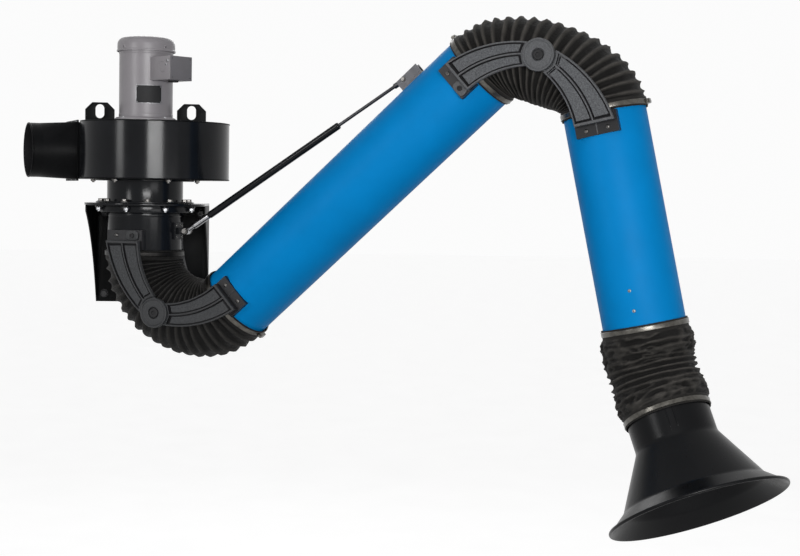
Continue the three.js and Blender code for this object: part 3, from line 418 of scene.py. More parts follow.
# Rounds the corners of a profile or outline of 2-D points.
def rounded(points, radius, steps=3, closed=True):
    result = []
    count = len(points)
    for i, point in enumerate(points):
        here = Vector(point)
        if not closed and i in (0, count - 1):
            result.append(tuple(here))
            continue
        before = Vector(points[i - 1]) - here
        after = Vector(points[(i + 1) % count]) - here
        if before.length < 1e-6 or after.length < 1e-6:
            result.append(tuple(here))
            continue
        angle = before.angle(after)
        if angle > math.radians(172) or angle < math.radians(4):
            result.append(tuple(here))
            continue
        reach = min(radius / math.tan(angle / 2), before.length * 0.45, after.length * 0.45)
        start = here + before.normalized() * reach
        end = here + after.normalized() * reach
        for k in range(steps + 1):
            t = k / steps
            result.append(tuple(start * (1 - t) ** 2 + here * 2 * t * (1 - t) + end * t ** 2))
    return result


# A turned shape about Z, from [radius, height] points.
def lathe(profile, sides=ROUND, closed=True, start=0.0, sweep=2 * math.pi):
    full = sweep > 2 * math.pi - 1e-6
    columns = sides if full else sides + 1
    verts = []
    for k in range(columns):
        angle = start + sweep * k / sides
        verts += [(radius * math.cos(angle), radius * math.sin(angle), height) for radius, height in profile]
    count = len(profile)
    faces = []
    for k in range(sides):
        here = k * count
        there = ((k + 1) % columns) * count
        for i in range(count if closed else count - 1):
            j = (i + 1) % count
            faces.append([here + i, there + i, there + j, here + j])
    return verts, faces


# Part of a turn of a closed profile, with its two ends closed.
def sector(profile, start, sweep, sides=12):
    verts, faces = lathe(profile, sides, True, start, sweep)
    count = len(profile)
    faces.append(list(range(count)))
    faces.append(list(range(sides * count, (sides + 1) * count)))
    return verts, faces


def drum(radius, low, high, soft=0.6, sides=48):
    return lathe(rounded([(0, low), (radius, low), (radius, high), (0, high)], soft, 3, False), sides, False)


# Rings of points joined into a skin.
def loft(rings, close_round=True, close_along=False):
    count = len(rings[0])
    verts = [tuple(point) for ring in rings for point in ring]
    faces = []
    for i in range(len(rings) if close_along else len(rings) - 1):
        here = i * count
        there = ((i + 1) % len(rings)) * count
        for k in range(count if close_round else count - 1):
            turn_on = (k + 1) % count
            faces.append([here + k, there + k, there + turn_on, here + turn_on])
    return verts, faces


# A flat plate in XY between two heights, with soft edges and holes.
def plate(loops, low, high, soft=0.7):
    curve = bpy.data.curves.new("plate", "CURVE")
    curve.dimensions = "2D"
    curve.fill_mode = "BOTH"
    curve.extrude = (high - low) / 2 - soft
    curve.bevel_depth = soft
    curve.bevel_resolution = 2
    curve.offset = -soft
    for loop in loops:
        spline = curve.splines.new("POLY")
        spline.points.add(len(loop) - 1)
        for point, (x, y) in zip(spline.points, loop):
            point.co = (x, y, 0, 1)
        spline.use_cyclic_u = True
    holder = bpy.data.objects.new("plate", curve)
    bpy.context.scene.collection.objects.link(holder)
    graph = bpy.context.evaluated_depsgraph_get()
    mesh = bpy.data.meshes.new_from_object(holder.evaluated_get(graph))
    middle = (low + high) / 2
    shape = (
        [(vert.co.x, vert.co.y, vert.co.z + middle) for vert in mesh.vertices],
        [list(face.vertices) for face in mesh.polygons],
    )
    bpy.data.objects.remove(holder)
    bpy.data.curves.remove(curve)
    bpy.data.meshes.remove(mesh)
    return shape


def ring_of(x, y, radius, sides=32):
    return [
        (x + radius * math.cos(2 * math.pi * k / sides), y + radius * math.sin(2 * math.pi * k / sides))
        for k in range(sides)
    ]


def rectangle(x0, x1, y0, y1, corner=0.0):
    points = [(x0, y0), (x1, y0), (x1, y1), (x0, y1)]
    return rounded(points, corner, 6) if corner else points


# A box with soft edges.
def soft_box(x, y, z, soft=1.0):
    body = bmesh.new()
    bmesh.ops.create_cube(body, size=1.0)
    for vert in body.verts:
        vert.co = Vector((
            x[0] + (vert.co.x + 0.5) * (x[1] - x[0]),
            y[0] + (vert.co.y + 0.5) * (y[1] - y[0]),
            z[0] + (vert.co.z + 0.5) * (z[1] - z[0]),
        ))
    bmesh.ops.bevel(body, geom=body.edges[:], offset=soft, segments=3, profile=0.5, affect="EDGES")
    body.verts.index_update()
    shape = [tuple(vert.co) for vert in body.verts], [[v.index for v in face.verts] for face in body.faces]
    body.free()
    return shape


# A hexagon head on a washer, standing on z = 0 and pointing up.
def hex_bolt(gather, place, across, height, washer=0.0, paint=0, stub=0.0):
    radius = across / math.sqrt(3)
    base = 0.0
    if washer:
        gather.add(lathe(rounded([(0, 0), (washer, 0), (washer, 1.6), (0, 1.6)], 0.5, 2, False), 32, False), place, paint)
        base = 1.6
    profile = [(0, base), (radius, base), (radius, base + height * 0.86), (radius * 0.86, base + height), (0, base + height)]
    gather.add(lathe(profile, 6, False), place, paint)
    if stub:
        tip = base + height
        gather.add(drum(across * 0.29, tip - 1, tip + stub, 0.8, 20), place, paint)


# A domed screw head with a cross recess, standing on z = 0 and pointing up.
def dome_screw(gather, place, radius, height, paint=0, recess=1):
    profile = [(radius * math.cos(a), height * math.sin(a)) for a in (0, 0.3, 0.6, 0.9, 1.2)]
    gather.add(lathe([(radius * 0.96, -0.4), *profile, (0, height)], 28, False), place, paint)
    arm = radius * 0.55
    width = radius * 0.13
    top = height * 1.015
    for spin in (0, math.pi / 2):
        bar = soft_box((-arm, arm), (-width, width), (top - 0.5, top + 0.05), 0.1)
        gather.add(bar, place @ turn("Z", spin), recess)


def facing(point, direction):
    return Matrix.Translation(point) @ Vector(direction).to_track_quat("Z", "Y").to_matrix().to_4x4()


# Where a screw stands on a tube: along X, at an angle from -Y towards +Z.
def on_tube(x, angle, radius=DUCT):
    outward = Vector((0, -math.cos(angle), math.sin(angle)))
    return facing(Vector((x, 0, 0)) + outward * radius, outward)


# CAD nodes that keep their shape get softened edges and a better material.
def dress(node, material, soft=0.0008):
    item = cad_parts[node]
    item.data.materials.clear()
    item.data.materials.append(material)
    if soft:
        edge = item.modifiers.new("soft_edges", "BEVEL")
        edge.width = soft
        edge.segments = 2
        edge.limit_method = "ANGLE"
        edge.angle_limit = math.radians(40)


# Wall bracket
def wall_bracket():
    half = PLATE_WIDTH / 2
    upright = Matrix(((1, 0, 0, 0), (0, 0, -1, 0), (0, 1, 0, 0), (0, 0, 0, 1)))
    sideways = Matrix(((0, 0, 1, 0), (1, 0, 0, 0), (0, 1, 0, 0), (0, 0, 0, 1)))
    hole_x = half - 24
    hole_z = PLATE_TOP - 24
    holes = [ring_of(x, z, 6.5) for x in (-hole_x, hole_x) for z in (-hole_z, hole_z)]
    metal = Gather()
    metal.add(plate([rectangle(-half, half, -PLATE_TOP, PLATE_TOP, 4), *holes], 0, 5), upright)
    corner = Vector((-105, 187 - PLATE_TOP))
    front = Vector((-288, PLATE_TOP - 18))
    foot = Vector((-5, -PLATE_TOP))
    edge = [(0, -PLATE_TOP), (0, PLATE_TOP), (-285, PLATE_TOP), (-288, PLATE_TOP - 3)]
    for k in range(33):
        t = k / 32
        edge.append(tuple(front * (1 - t) ** 2 + corner * 2 * t * (1 - t) + foot * t ** 2))
    gusset = plate([edge], 0, 4)
    for x in (-half, half - 4):
        metal.add(gusset, sideways @ move(0, 0, x))
    for side in (-1, 1):
        x = side * (half - 4)
        rings = []
        for k in range(120):
            z = -PLATE_TOP + 6 + (PLATE_HEIGHT - 12) * k / 119
            size = 3.2 + 0.7 * math.sin(k * 1.9) + 0.4 * noise.noise(Vector((k * 0.4, side, 0)))
            rings.append([
                (x, -5, z), (x, -5 - size, z), (x - side * size * 0.62, -5 - size * 0.62, z), (x - side * size, -5, z),
            ])
        metal.add(loft(rings))
    metal.piece("bracket", "base", Matrix(), [BLACK_DULL], ["wall_bracket"], "black_paint")
    bolts = Gather()
    for x in (-hole_x, hole_x):
        for z in (-hole_z, hole_z):
            hex_bolt(bolts, facing((x, -5, z), (0, -1, 0)), 18, 8, 12)
    bolts.piece("wall_bolts", "base", Matrix(), [FOOT], (), "black_paint")

    shelf = [(half, -0.5)]
    shelf += [(-half, -0.5)]
    for k in range(49):
        angle = math.pi + math.pi * k / 48
        shelf.append((half * math.cos(angle), -AXIS_FROM_WALL + half * math.sin(angle)))
    sheet = Gather()
    sheet.add(plate([shelf, ring_of(0, -AXIS_FROM_WALL, COLLAR_OUTER - 3, 96)], SHELF_BOTTOM, SHELF_TOP))
    sheet.piece("shelf", "base", Matrix(), [BLACK], ["bracket_shelf"], "black_paint")


# Fan
def scroll_radius(angle):
    return CUTOFF_RADIUS + SCROLL_GROWTH * (angle - CUTOFF_ANGLE) / (2 * math.pi)


outlet_far = scroll_radius(SCROLL_END)
outlet_near = outlet_far - OUTLET_WIDTH
outlet_middle = (outlet_far + outlet_near) / 2


def scroll_edge(inset, steps=128):
    points = []
    for k in range(steps + 1):
        angle = CUTOFF_ANGLE + (SCROLL_END - CUTOFF_ANGLE) * k / steps
        radius = scroll_radius(angle) - inset
        points.append((radius * math.cos(angle), radius * math.sin(angle)))
    return points


def fan_housing():
    lip = 1.2
    rim = [*scroll_edge(-lip), (-OUTLET_LENGTH, outlet_far + lip), (-OUTLET_LENGTH, outlet_near)]
    top = Gather().add(plate([rim, ring_of(0, 0, 29, 48)], FAN_TOP - 3, FAN_TOP, 0.8))
    top.piece("fan_roof", "base", SCROLL, [BLACK_DULL], ["fan_top_plate"], "black_paint")
    floor = Gather().add(plate([rim, ring_of(0, 0, 90, 96)], FAN_BOTTOM, FAN_BOTTOM + 3, 0.8))
    floor.add(lathe(rounded([(90, FAN_BOTTOM + 1), (93, FAN_BOTTOM + 1), (93, FAN_BOTTOM + 26), (90, FAN_BOTTOM + 26)], 0.8)))
    for k in range(6):
        angle = 2 * math.pi * k / 6 - DISCHARGE_TURN
        under = facing((141 * math.cos(angle), 141 * math.sin(angle), FAN_BOTTOM), (0, 0, -1))
        hex_bolt(floor, under, 12, 5, 9, 1, 3)
    floor.piece("fan_floor", "base", SCROLL, [BLACK_DULL, SCREW], ["fan_bottom_plate"], "black_paint")

    low = FAN_BOTTOM + 3 + GAP
    high = FAN_TOP - 3 - GAP
    outer = scroll_edge(0) + [(-OUTLET_LENGTH, outlet_far)]
    inner = scroll_edge(3) + [(-OUTLET_LENGTH, outlet_far - 3)]
    wrap = Gather()
    wrap.add(loft([[(x, y, low) for x, y in outer], [(x, y, high) for x, y in outer]], False))
    wrap.add(loft([[(x, y, low) for x, y in inner], [(x, y, high) for x, y in inner]], False), None, 1)
    tongue = scroll_edge(0)[0]
    throat = [(tongue[0], outlet_near + 3), (-OUTLET_LENGTH, outlet_near + 3), (-OUTLET_LENGTH, outlet_near), tongue]
    wrap.add(loft([[(x, y, low) for x, y in throat], [(x, y, high) for x, y in throat]]))
    # An overlapped joint in the sheet, to the right of the middle
    seam = math.radians(-45 - 18 + 360)
    sheet = []
    for k in range(25):
        angle = seam + 0.9 * k / 24
        radius = scroll_radius(angle) + 1.1 * (1 - k / 24) + 0.05
        sheet.append((radius * math.cos(angle), radius * math.sin(angle)))
    wrap.add(loft([[(x, y, low) for x, y in sheet], [(x, y, high) for x, y in sheet]], False))
    start = Vector((*sheet[0], 0))
    inward = start.normalized() * -1.6
    wrap.add(loft([[(*sheet[0], low), (*sheet[0], high)], [(*(start + inward).xy, low), (*(start + inward).xy, high)]], False))
    wrap.piece("fan_wrap", "base", SCROLL, [BLACK, BLACK_INSIDE], ["fan_scroll_wrap"], "black_paint", 24)

    collar = Gather()
    flange = COLLAR_FLANGE
    collar.add(lathe(rounded([
        (COLLAR_OUTER - 3, COLLAR_BOTTOM), (flange, COLLAR_BOTTOM), (flange, COLLAR_BOTTOM + 4),
        (COLLAR_OUTER, COLLAR_BOTTOM + 4), (COLLAR_OUTER, COLLAR_TOP - 4), (flange, COLLAR_TOP - 4),
        (flange, COLLAR_TOP), (COLLAR_OUTER - 3, COLLAR_TOP),
    ], 0.9)))
    for k in range(12):
        angle = 2 * math.pi * (k + 0.25) / 12
        spot = (119 * math.cos(angle), 119 * math.sin(angle), COLLAR_BOTTOM + 4)
        hex_bolt(collar, facing(spot, (0, 0, 1)), 13, 6, 10, 1)
    collar.piece("inlet", "base", FAN, [BLACK, SCREW], ["inlet_collar"], "black_paint")


# Flat triangles run from the flange's sides to the spigot, and cones from its corners.
def outlet():
    start = -OUTLET_LENGTH - GAP
    flange = start - 4
    round_at = start - TRANSITION + SPIGOT
    end = start - TRANSITION
    half_y = OUTLET_WIDTH / 2
    half_z = (FAN_TOP - FAN_BOTTOM) / 2
    middle = Vector((0, outlet_middle, FAN_MIDDLE))
    metal = Gather()
    steps = 16
    for inset, paint in ((0, 0), (2.6, 1)):
        corners = [
            middle + Vector((flange, sy * (half_y - inset), sz * (half_z - inset)))
            for sy, sz in ((1, 1), (-1, 1), (-1, -1), (1, -1))
        ]
        ring = [
            middle + Vector((
                round_at,
                (OUTLET_RADIUS - inset) * math.cos(math.pi / 2 * k / steps),
                (OUTLET_RADIUS - inset) * math.sin(math.pi / 2 * k / steps),
            ))
            for k in range(4 * steps)
        ]
        verts = corners + ring
        faces = []
        for q in range(4):
            for k in range(steps):
                here = 4 + q * steps + k
                there = 4 + (q * steps + k + 1) % (4 * steps)
                faces.append([q, here, there])
            faces.append([q, 4 + ((q + 1) * steps) % (4 * steps), (q + 1) % 4])
        metal.add((verts, faces), None, paint)
    spigot = [
        (OUTLET_RADIUS, 0), (OUTLET_RADIUS, SPIGOT - 5), (OUTLET_RADIUS + 0.9, SPIGOT - 3), (OUTLET_RADIUS + 0.6, SPIGOT - 0.6),
        (OUTLET_RADIUS - 1, SPIGOT), (OUTLET_RADIUS - 2.6, SPIGOT - 0.8),
    ]
    backwards = Matrix.Translation(middle + Vector((round_at, 0, 0))) @ turn("Y", -math.pi / 2)
    metal.add(lathe(spigot, 64, False), backwards)
    metal.add(lathe([(OUTLET_RADIUS - 2.6, 0), (OUTLET_RADIUS - 2.6, SPIGOT - 0.8)], 64, False), backwards, 1)
    frame_loops = [
        rectangle(-half_y - 6, half_y + 6, -half_z - 6, half_z + 6, 2),
        rectangle(-half_y + 2.6, half_y - 2.6, -half_z + 2.6, half_z - 2.6, 1),
    ]
    upright = Matrix.Translation(middle + Vector((start, 0, 0))) @ Matrix(
        ((0, 0, -1, 0), (1, 0, 0, 0), (0, 1, 0, 0), (0, 0, 0, 1))
    )
    metal.add(plate(frame_loops, 0, 4, 0.6), upright)
    for sy in (-1, 0, 1):
        for sz in (-1, 1):
            spot = middle + Vector((flange, sy * half_y * 0.8, sz * (half_z + 2)))
            dome_screw(metal, facing(spot, (-1, 0, 0)), 2.6, 1.6, 2, 1)
    metal.piece("outlet", "base", SCROLL, [BLACK_DULL, BLACK_INSIDE, ZINC], ["outlet_transition"], "black_paint", 9)


def lifting_lugs():
    half = 39.5
    for name, x in (("left", -124), ("right", 124)):
        shape = rounded([(-half, 0), (half, 0), (half, 33), (half - 19, 52), (19 - half, 52), (-half, 33)], 2.5)
        hole = []
        for k in range(33):
            hole.append((12 * math.cos(math.pi + math.pi * k / 32), 21 + 12 * math.sin(math.pi + math.pi * k / 32)))
        for k in range(33):
            hole.append((12 * math.cos(math.pi * k / 32), 35 + 12 * math.sin(math.pi * k / 32)))
        lug = Gather()
        stand = Matrix(((1, 0, 0, 0), (0, 0, -1, 0), (0, 1, 0, 0), (0, 0, 0, 1)))
        lug.add(plate([shape, hole], -4, 4, 1.0), stand)
        for side in (-1, 1):
            rings = []
            for k in range(60):
                at = -half + 3 + (2 * half - 6) * k / 59
                size = 2.6 + 0.6 * math.sin(k * 1.9)
                rings.append([
                    (at, side * 4, 0), (at, side * (4 + size), 0), (at, side * (4 + size * 0.6), size * 0.6), (at, side * 4, size),
                ])
            lug.add(loft(rings))
        lug.piece(f"lug_{name}", "base", FAN @ move(x, 0, FAN_TOP + GAP), [BLACK_DULL], [f"lifting_lug_{name}"], "black_paint")


# Motor
def motor():
    low = MOTOR_BOTTOM
    plate_end = Gather().add(lathe(rounded([
        (10.5, low), (84, low), (84, low + 8), (80, low + 12), (26, low + 12), (26, low + 30), (10.5, low + 30),
    ], 1.2)))
    for k in range(4):
        angle = math.pi / 4 + k * math.pi / 2
        hex_bolt(plate_end, facing((78.2 * math.cos(angle), 78.2 * math.sin(angle), low + 9), (0, 0, 1)), 8, 4, 0, 1)
    plate_end.piece("motor_end", "base", FAN, [GREY, ZINC], ["motor_end_plate"], "grey_paint")

    body = Gather()
    r = MOTOR_RADIUS
    body.add(lathe(rounded([
        (r - 4, FRAME_BOTTOM), (r + 0.7, FRAME_BOTTOM), (r + 0.7, FRAME_BOTTOM + 9), (r, FRAME_BOTTOM + 10),
        (r, FRAME_TOP - 12), (r + 0.7, FRAME_TOP - 11), (r + 0.7, FRAME_TOP), (r - 4, FRAME_TOP),
    ], 0.6)))
    name_start = math.radians(-90 - 17)
    name_sweep = math.radians(56)
    body.add(sector(rounded([(r - 0.5, 418), (r + 0.9, 418), (r + 0.9, 467), (r - 0.5, 467)], 0.5), name_start, name_sweep, 20),
             None, 1)
    body.add(sector([(r + 0.5, 419), (r + 1.15, 419.4), (r + 1.15, 465.6), (r + 0.5, 466)],
                    name_start + 0.015, name_sweep - 0.03, 20), None, 2)
    for angle in (name_start + 0.05, name_start + name_sweep - 0.05):
        for z in (422, 463):
            outward = Vector((math.cos(angle), math.sin(angle), 0))
            dome_screw(body, facing(outward * (r + 1.1) + Vector((0, 0, z)), outward), 1.5, 0.9, 1, 1)
    seam = [(r - 0.3, 0.8), (r + 0.9, 0.4), (r + 0.9, -0.4), (r - 0.3, -0.8)]
    rings = [[(x, y, z) for x, y in seam] for z in (FRAME_BOTTOM + 9, FRAME_TOP - 11)]
    body.add(loft(rings), turn("Z", math.radians(100)))
    body.piece("motor_body", "base", FAN, [GREY, PLATE_METAL, DARK_RUBBER], ["motor_frame"], "grey_paint")

    cap = Gather()
    c = COVER_RADIUS
    edge = [(c - 2.5, COVER_BOTTOM), (c, COVER_BOTTOM), (c, COVER_BOTTOM + 3.5), (c - 1.6, COVER_BOTTOM + 5.5)]
    for k in range(13):
        angle = math.pi / 2 * k / 12
        edge.append((c - 1.6 - 19 * (1 - math.cos(angle)), COVER_TOP - 3 - 19 * (1 - math.sin(angle))))
    edge += [(40, COVER_TOP - 0.8), (18, COVER_TOP), (0, COVER_TOP)]
    cap.add(lathe(edge, ROUND, False))
    cap.add(lathe([(c - 2.5, COVER_BOTTOM), (c - 2.5, COVER_TOP - 26), (c - 24, COVER_TOP - 6), (0, COVER_TOP - 4)], ROUND, False), None, 1)
    slot = [(22, COVER_TOP - 0.1), (40, COVER_TOP - 0.7), (47, COVER_TOP - 1.5), (47, COVER_TOP - 2.5), (22, COVER_TOP - 1.2)]
    for k in range(16):
        cap.add(sector(slot, 2 * math.pi * (k - 0.18) / 16, 0.14, 3), None, 2)
    for k in range(4):
        angle = math.pi / 4 + k * math.pi / 2
        outward = Vector((math.cos(angle), math.sin(angle), 0))
        dome_screw(cap, facing(outward * (c - 1.9) + Vector((0, 0, COVER_BOTTOM + 11)), outward), 4.2, 2.4, 3, 1)
    cap.piece("motor_cap", "base", FAN, [GREY, BLACK_INSIDE, DARK_RUBBER, GREY], ["motor_fan_cover"], "grey_paint")

    # A conduit box with a lid, two knock-outs and a gasket
    end = BOX_REACH - 3 - GAP
    case = Gather().add(soft_box((60, end), (-BOX_HALF, BOX_HALF), (BOX_BOTTOM, BOX_TOP), 2.2))
    case.add(soft_box((end - 0.4, end + 0.9), (-BOX_HALF + 0.8, BOX_HALF - 0.8), (BOX_BOTTOM + 0.8, BOX_TOP - 0.8), 0.3), None, 1)
    for side in (-1, 1):
        spot = facing((112, side * BOX_HALF, (BOX_TOP + BOX_BOTTOM) / 2 + 4), (0, side, 0))
        case.add(lathe([(15, -0.5), (15, 0.5), (14.3, 0.9), (13.6, 0.4), (13.2, 0.7), (0, 0.9)], 40, False), spot, 0)
        screw_at = facing((132, side * BOX_HALF, BOX_TOP - 13), (0, side, 0))
        dome_screw(case, screw_at, 4.4, 2.8, 2, 1)
        screw_at = facing((126, side * BOX_HALF, BOX_TOP - 23), (0, side, 0))
        dome_screw(case, screw_at, 3.4, 2.2, 2, 1)
    below = facing((112, 0, BOX_BOTTOM), (0, 0, -1))
    case.add(lathe([(14, -0.5), (14, 3), (12.5, 4), (11, 4), (11, 0.5), (0, 0.5)], 40, False), below, 1)
    case.piece("junction_box", "base", BOX, [GREY, DARK_RUBBER, ZINC], ["terminal_box"], "grey_paint")
    lid = Gather().add(soft_box((end + GAP, BOX_REACH), (-BOX_HALF, BOX_HALF), (BOX_BOTTOM, BOX_TOP), 1.2))
    for y in (-1, 1):
        for z in (BOX_BOTTOM + 7, BOX_TOP - 7):
            dome_screw(lid, facing((BOX_REACH - 1.4, y * (BOX_HALF - 7), z), (1, 0, 0)), 3.6, 1.35, 1, 2)
    # The lid takes the darker enamel: painted shade on this side of the box
    lid.piece("junction_lid", "base", BOX, [GREY_SHADED, ZINC, DARK_RUBBER], ["terminal_box_cover"], "grey_paint")


# Swivel
def swivel():
    ring = Gather()
    race = BEARING_OUTER - 6
    ring.add(lathe(rounded([
        (BEARING_BORE, BEARING_BOTTOM), (BEARING_OUTER, BEARING_BOTTOM), (BEARING_OUTER, BEARING_TOP),
        (race, BEARING_TOP), (race, BEARING_BOTTOM + 4), (BEARING_BORE, BEARING_BOTTOM + 4),
    ], 0.9)))
    for k in range(8):
        angle = 2 * math.pi * (k + 0.62) / 8
        outward = Vector((math.cos(angle), math.sin(angle), 0))
        ear = plate([rounded([(BEARING_OUTER - 4, -11), (143, -8), (143, 8), (BEARING_OUTER - 4, 11)], 5, 5)],
                    BEARING_TOP - 5, BEARING_TOP - 0.2, 0.7)
        ring.add(ear, turn("Z", angle))
        hex_bolt(ring, facing(outward * 134 + Vector((0, 0, BEARING_TOP - 5)), (0, 0, -1)), 13, 6.5, 8.5, 1, 4)
    ring.piece("swivel_ring", "base", FAN, [BLACK, ZINC], ["swivel_bearing"], "black_paint")

    low = SWIVEL_END - TUBE_IN_CUFF
    flange_low = BEARING_BOTTOM + 4 + GAP
    duct = Gather().add(lathe(rounded([
        (DUCT - DUCT_WALL, low), (DUCT, low), (DUCT, BEARING_BOTTOM - 12), (DUCT + 1.2, BEARING_BOTTOM - 10),
        (DUCT + 1.2, BEARING_BOTTOM - 4), (DUCT, BEARING_BOTTOM - 2), (DUCT, flange_low), (117, flange_low),
        (117, flange_low + 7), (DUCT - DUCT_WALL, flange_low + 7),
    ], 0.7)))
    duct.piece("swivel_tube", "swivel", SWIVEL, [BLACK], ["swivel_duct"], "black_paint")


# Tubes: rolled from sheet, with a lapped seam on the far side
def tube(name, node, body, place, length, screws):
    skin = Gather()
    ends = [
        (DUCT - DUCT_WALL, -TUBE_IN_CUFF), (DUCT, -TUBE_IN_CUFF), (DUCT, length + TUBE_IN_CUFF),
        (DUCT - DUCT_WALL, length + TUBE_IN_CUFF),
    ]
    profile = rounded(ends, 0.5)
    outer = [point for point in profile if point[0] > DUCT - DUCT_WALL / 2]
    inner = [point for point in profile if point[0] <= DUCT - DUCT_WALL / 2]
    skin.add(lathe(outer, 128, False), ALONG_X)
    skin.add(lathe(inner, 128, False), ALONG_X, 1)
    seam = [(DUCT - 0.4, -7), (DUCT + 0.9, -6.5), (DUCT + 0.9, 6.5), (DUCT - 0.4, 7)]
    rings = [[(x, y, z) for y, z in seam] for x in (30, length - 30)]
    skin.add(loft(rings), turn("X", math.radians(-6)))
    for x, angle in screws:
        dome_screw(skin, on_tube(x, math.radians(angle)), 4.2, 2.2, 2, 3)
    skin.piece(name, body, place, [BLUE, BLACK_INSIDE, ZINC, DARK_RUBBER], [node], "blue_paint")


# Hoses: cloth over wire rings.
class Hose:
    def __init__(self, bend, reach, ribs, seed, crumple=1.6, fullness=1.0, swell=0.0, wander=0.16, slack=0.0, bow=0.0):
        handle = fullness * reach * math.tan(bend / 4) / math.tan(bend / 2) * 4 / 3
        away = Vector((math.cos(bend), 0, math.sin(bend)))
        start = Vector((CUFF, 0, 0))
        end = Vector((CUFF + reach, 0, 0)) + away * reach
        self.bend = bend
        self.curve = start, start + Vector((handle, 0, 0)), end - away * handle, end
        steps = [self.centre(k / 64) for k in range(65)]
        self.length = sum((b - a).length for a, b in zip(steps, steps[1:]))
        self.ribs = ribs
        self.pitch = self.length / (ribs + 0.5)
        self.seed = seed
        self.crumple = crumple
        self.swell = swell
        self.wander = wander
        self.slack = slack
        self.bow = bow

    def centre(self, share):
        a, b, c, d = self.curve
        rest = 1 - share
        return a * rest ** 3 + b * 3 * rest ** 2 * share + c * 3 * rest * share ** 2 + d * share ** 3

    # The rings turn evenly along the hose, also where its curve doesn't
    def frame_at(self, distance):
        share = min(max(distance / self.length, 0.0), 1.0)
        angle = self.bend * share
        over = min(distance, 0) + max(distance - self.length, 0)
        forward = Vector((math.cos(angle), 0, math.sin(angle)))
        inside = Vector((-math.sin(angle), 0, math.cos(angle)))
        sag = inside * self.bow * math.sin(math.pi * share)
        return self.centre(share) - sag + forward * over, forward, inside

    # Radius of the cloth and how near it is to a wire, at a distance along and a turn round the hose
    def cloth(self, distance, turn_at):
        looped = Vector((math.cos(turn_at) * 1.3, math.sin(turn_at) * 1.3, self.seed))
        if distance <= 0 or distance >= self.length:
            bulge = 0.5 * noise.noise(looped * 3 + Vector((0, 0, distance * 0.02)))
            return CUFF_OUTER + bulge, 0.25
        # Slack cloth hides the wires under sharp folds, except where the hose is drawn out
        share = distance / self.length
        slack = self.slack * (1 - math.exp(-((share - 0.57) / 0.2) ** 2))
        warp = 1.6 * noise.noise(looped * 1.1 + Vector((0, 0, distance * 0.02 + 9)))
        fold = 0.6 - 2.2 * abs(noise.noise(looped * 2.6 + Vector((warp, 0, distance * 0.062))))
        phase = distance / self.pitch
        wire = min(max(round(phase), 0), self.ribs)
        phase += self.wander * noise.noise(looped + Vector((0, 0, wire * 0.9)))
        nearest = min(max(round(phase), 0), self.ribs)
        away = min(abs(phase - nearest) * 2, 1.0)
        sag = 1.0 + 0.45 * noise.noise(looped * 1.4 + Vector((0, 0, math.floor(phase) * 1.7 + 5)))
        depth = (RIB_PEAK - RIB_VALLEY) * sag * (1 - 0.72 * slack)
        dip = math.sin(math.pi / 2 * away) ** 0.7
        crumple = self.crumple * noise.noise(looped * 4.5 + Vector((0, 0, distance * 0.045))) * away
        swell = self.swell * (1 + 0.7 * noise.noise(looped * 0.9 + Vector((0, 0, distance * 0.012))))
        size = RIB_PEAK + 0.6 + swell - depth * dip + crumple + slack * 8 * fold
        edge = min(distance, self.length - distance) / (self.pitch * 0.6)
        if edge < 1:
            size = CUFF_OUTER + (size - CUFF_OUTER) * edge ** 0.5
        # The cloth is painted paler here, on wire ridges and fold crests: partly wear, partly a painted highlight
        ridge = max(0.0, 1 - away * 1.7) * (1 - 0.7 * slack) + slack * max(0.0, fold)
        return size, ridge

    def piece(self, name, place, start, end, bodies, nodes, weight, cloth=CLOTH, rows_per_rib=10, sides=96):
        rows = max(2, round((end - start) / self.pitch * rows_per_rib))
        verts = []
        ridges = []
        spans = []
        for i in range(rows + 1):
            distance = start + (end - start) * i / rows
            centre, forward, inside = self.frame_at(distance)
            for k in range(sides):
                turn_at = 2 * math.pi * k / sides
                size, ridge = self.cloth(distance, turn_at)
                point = centre + inside * size * math.sin(turn_at) + Vector((0, size * math.cos(turn_at), 0))
                verts.append((place @ point) * MM)
                ridges.append(ridge)
                weight(distance)
            spans.append(distance)
        faces = []
        for i in range(rows):
            for k in range(sides):
                on = (k + 1) % sides
                faces.append([i * sides + k, i * sides + on, (i + 1) * sides + on, (i + 1) * sides + k])
        mesh = bpy.data.meshes.new(name)
        mesh.from_pydata(verts, [], faces)
        mesh.materials.append(cloth)
        layer = mesh.uv_layers.new(name="around_and_along")
        for face in mesh.polygons:
            for loop, vert in zip(face.loop_indices, face.vertices):
                row, column = divmod(vert, sides)
                if column == 0 and face.index % sides == sides - 1:
                    column = sides
                layer.data[loop].uv = (column / sides, spans[row] / 400)
        mesh.shade_smooth()
        marks = mesh.attributes.new("ridge", "FLOAT", "POINT")
        marks.data.foreach_set("value", ridges)
        item = bpy.data.objects.new(name, mesh)
        bpy.context.scene.collection.objects.link(item)
        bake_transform(item)
        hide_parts(*nodes)
        return item


def ease(share):
    share = min(max(share, 0.0), 1.0)
    return share * share * (3 - 2 * share)


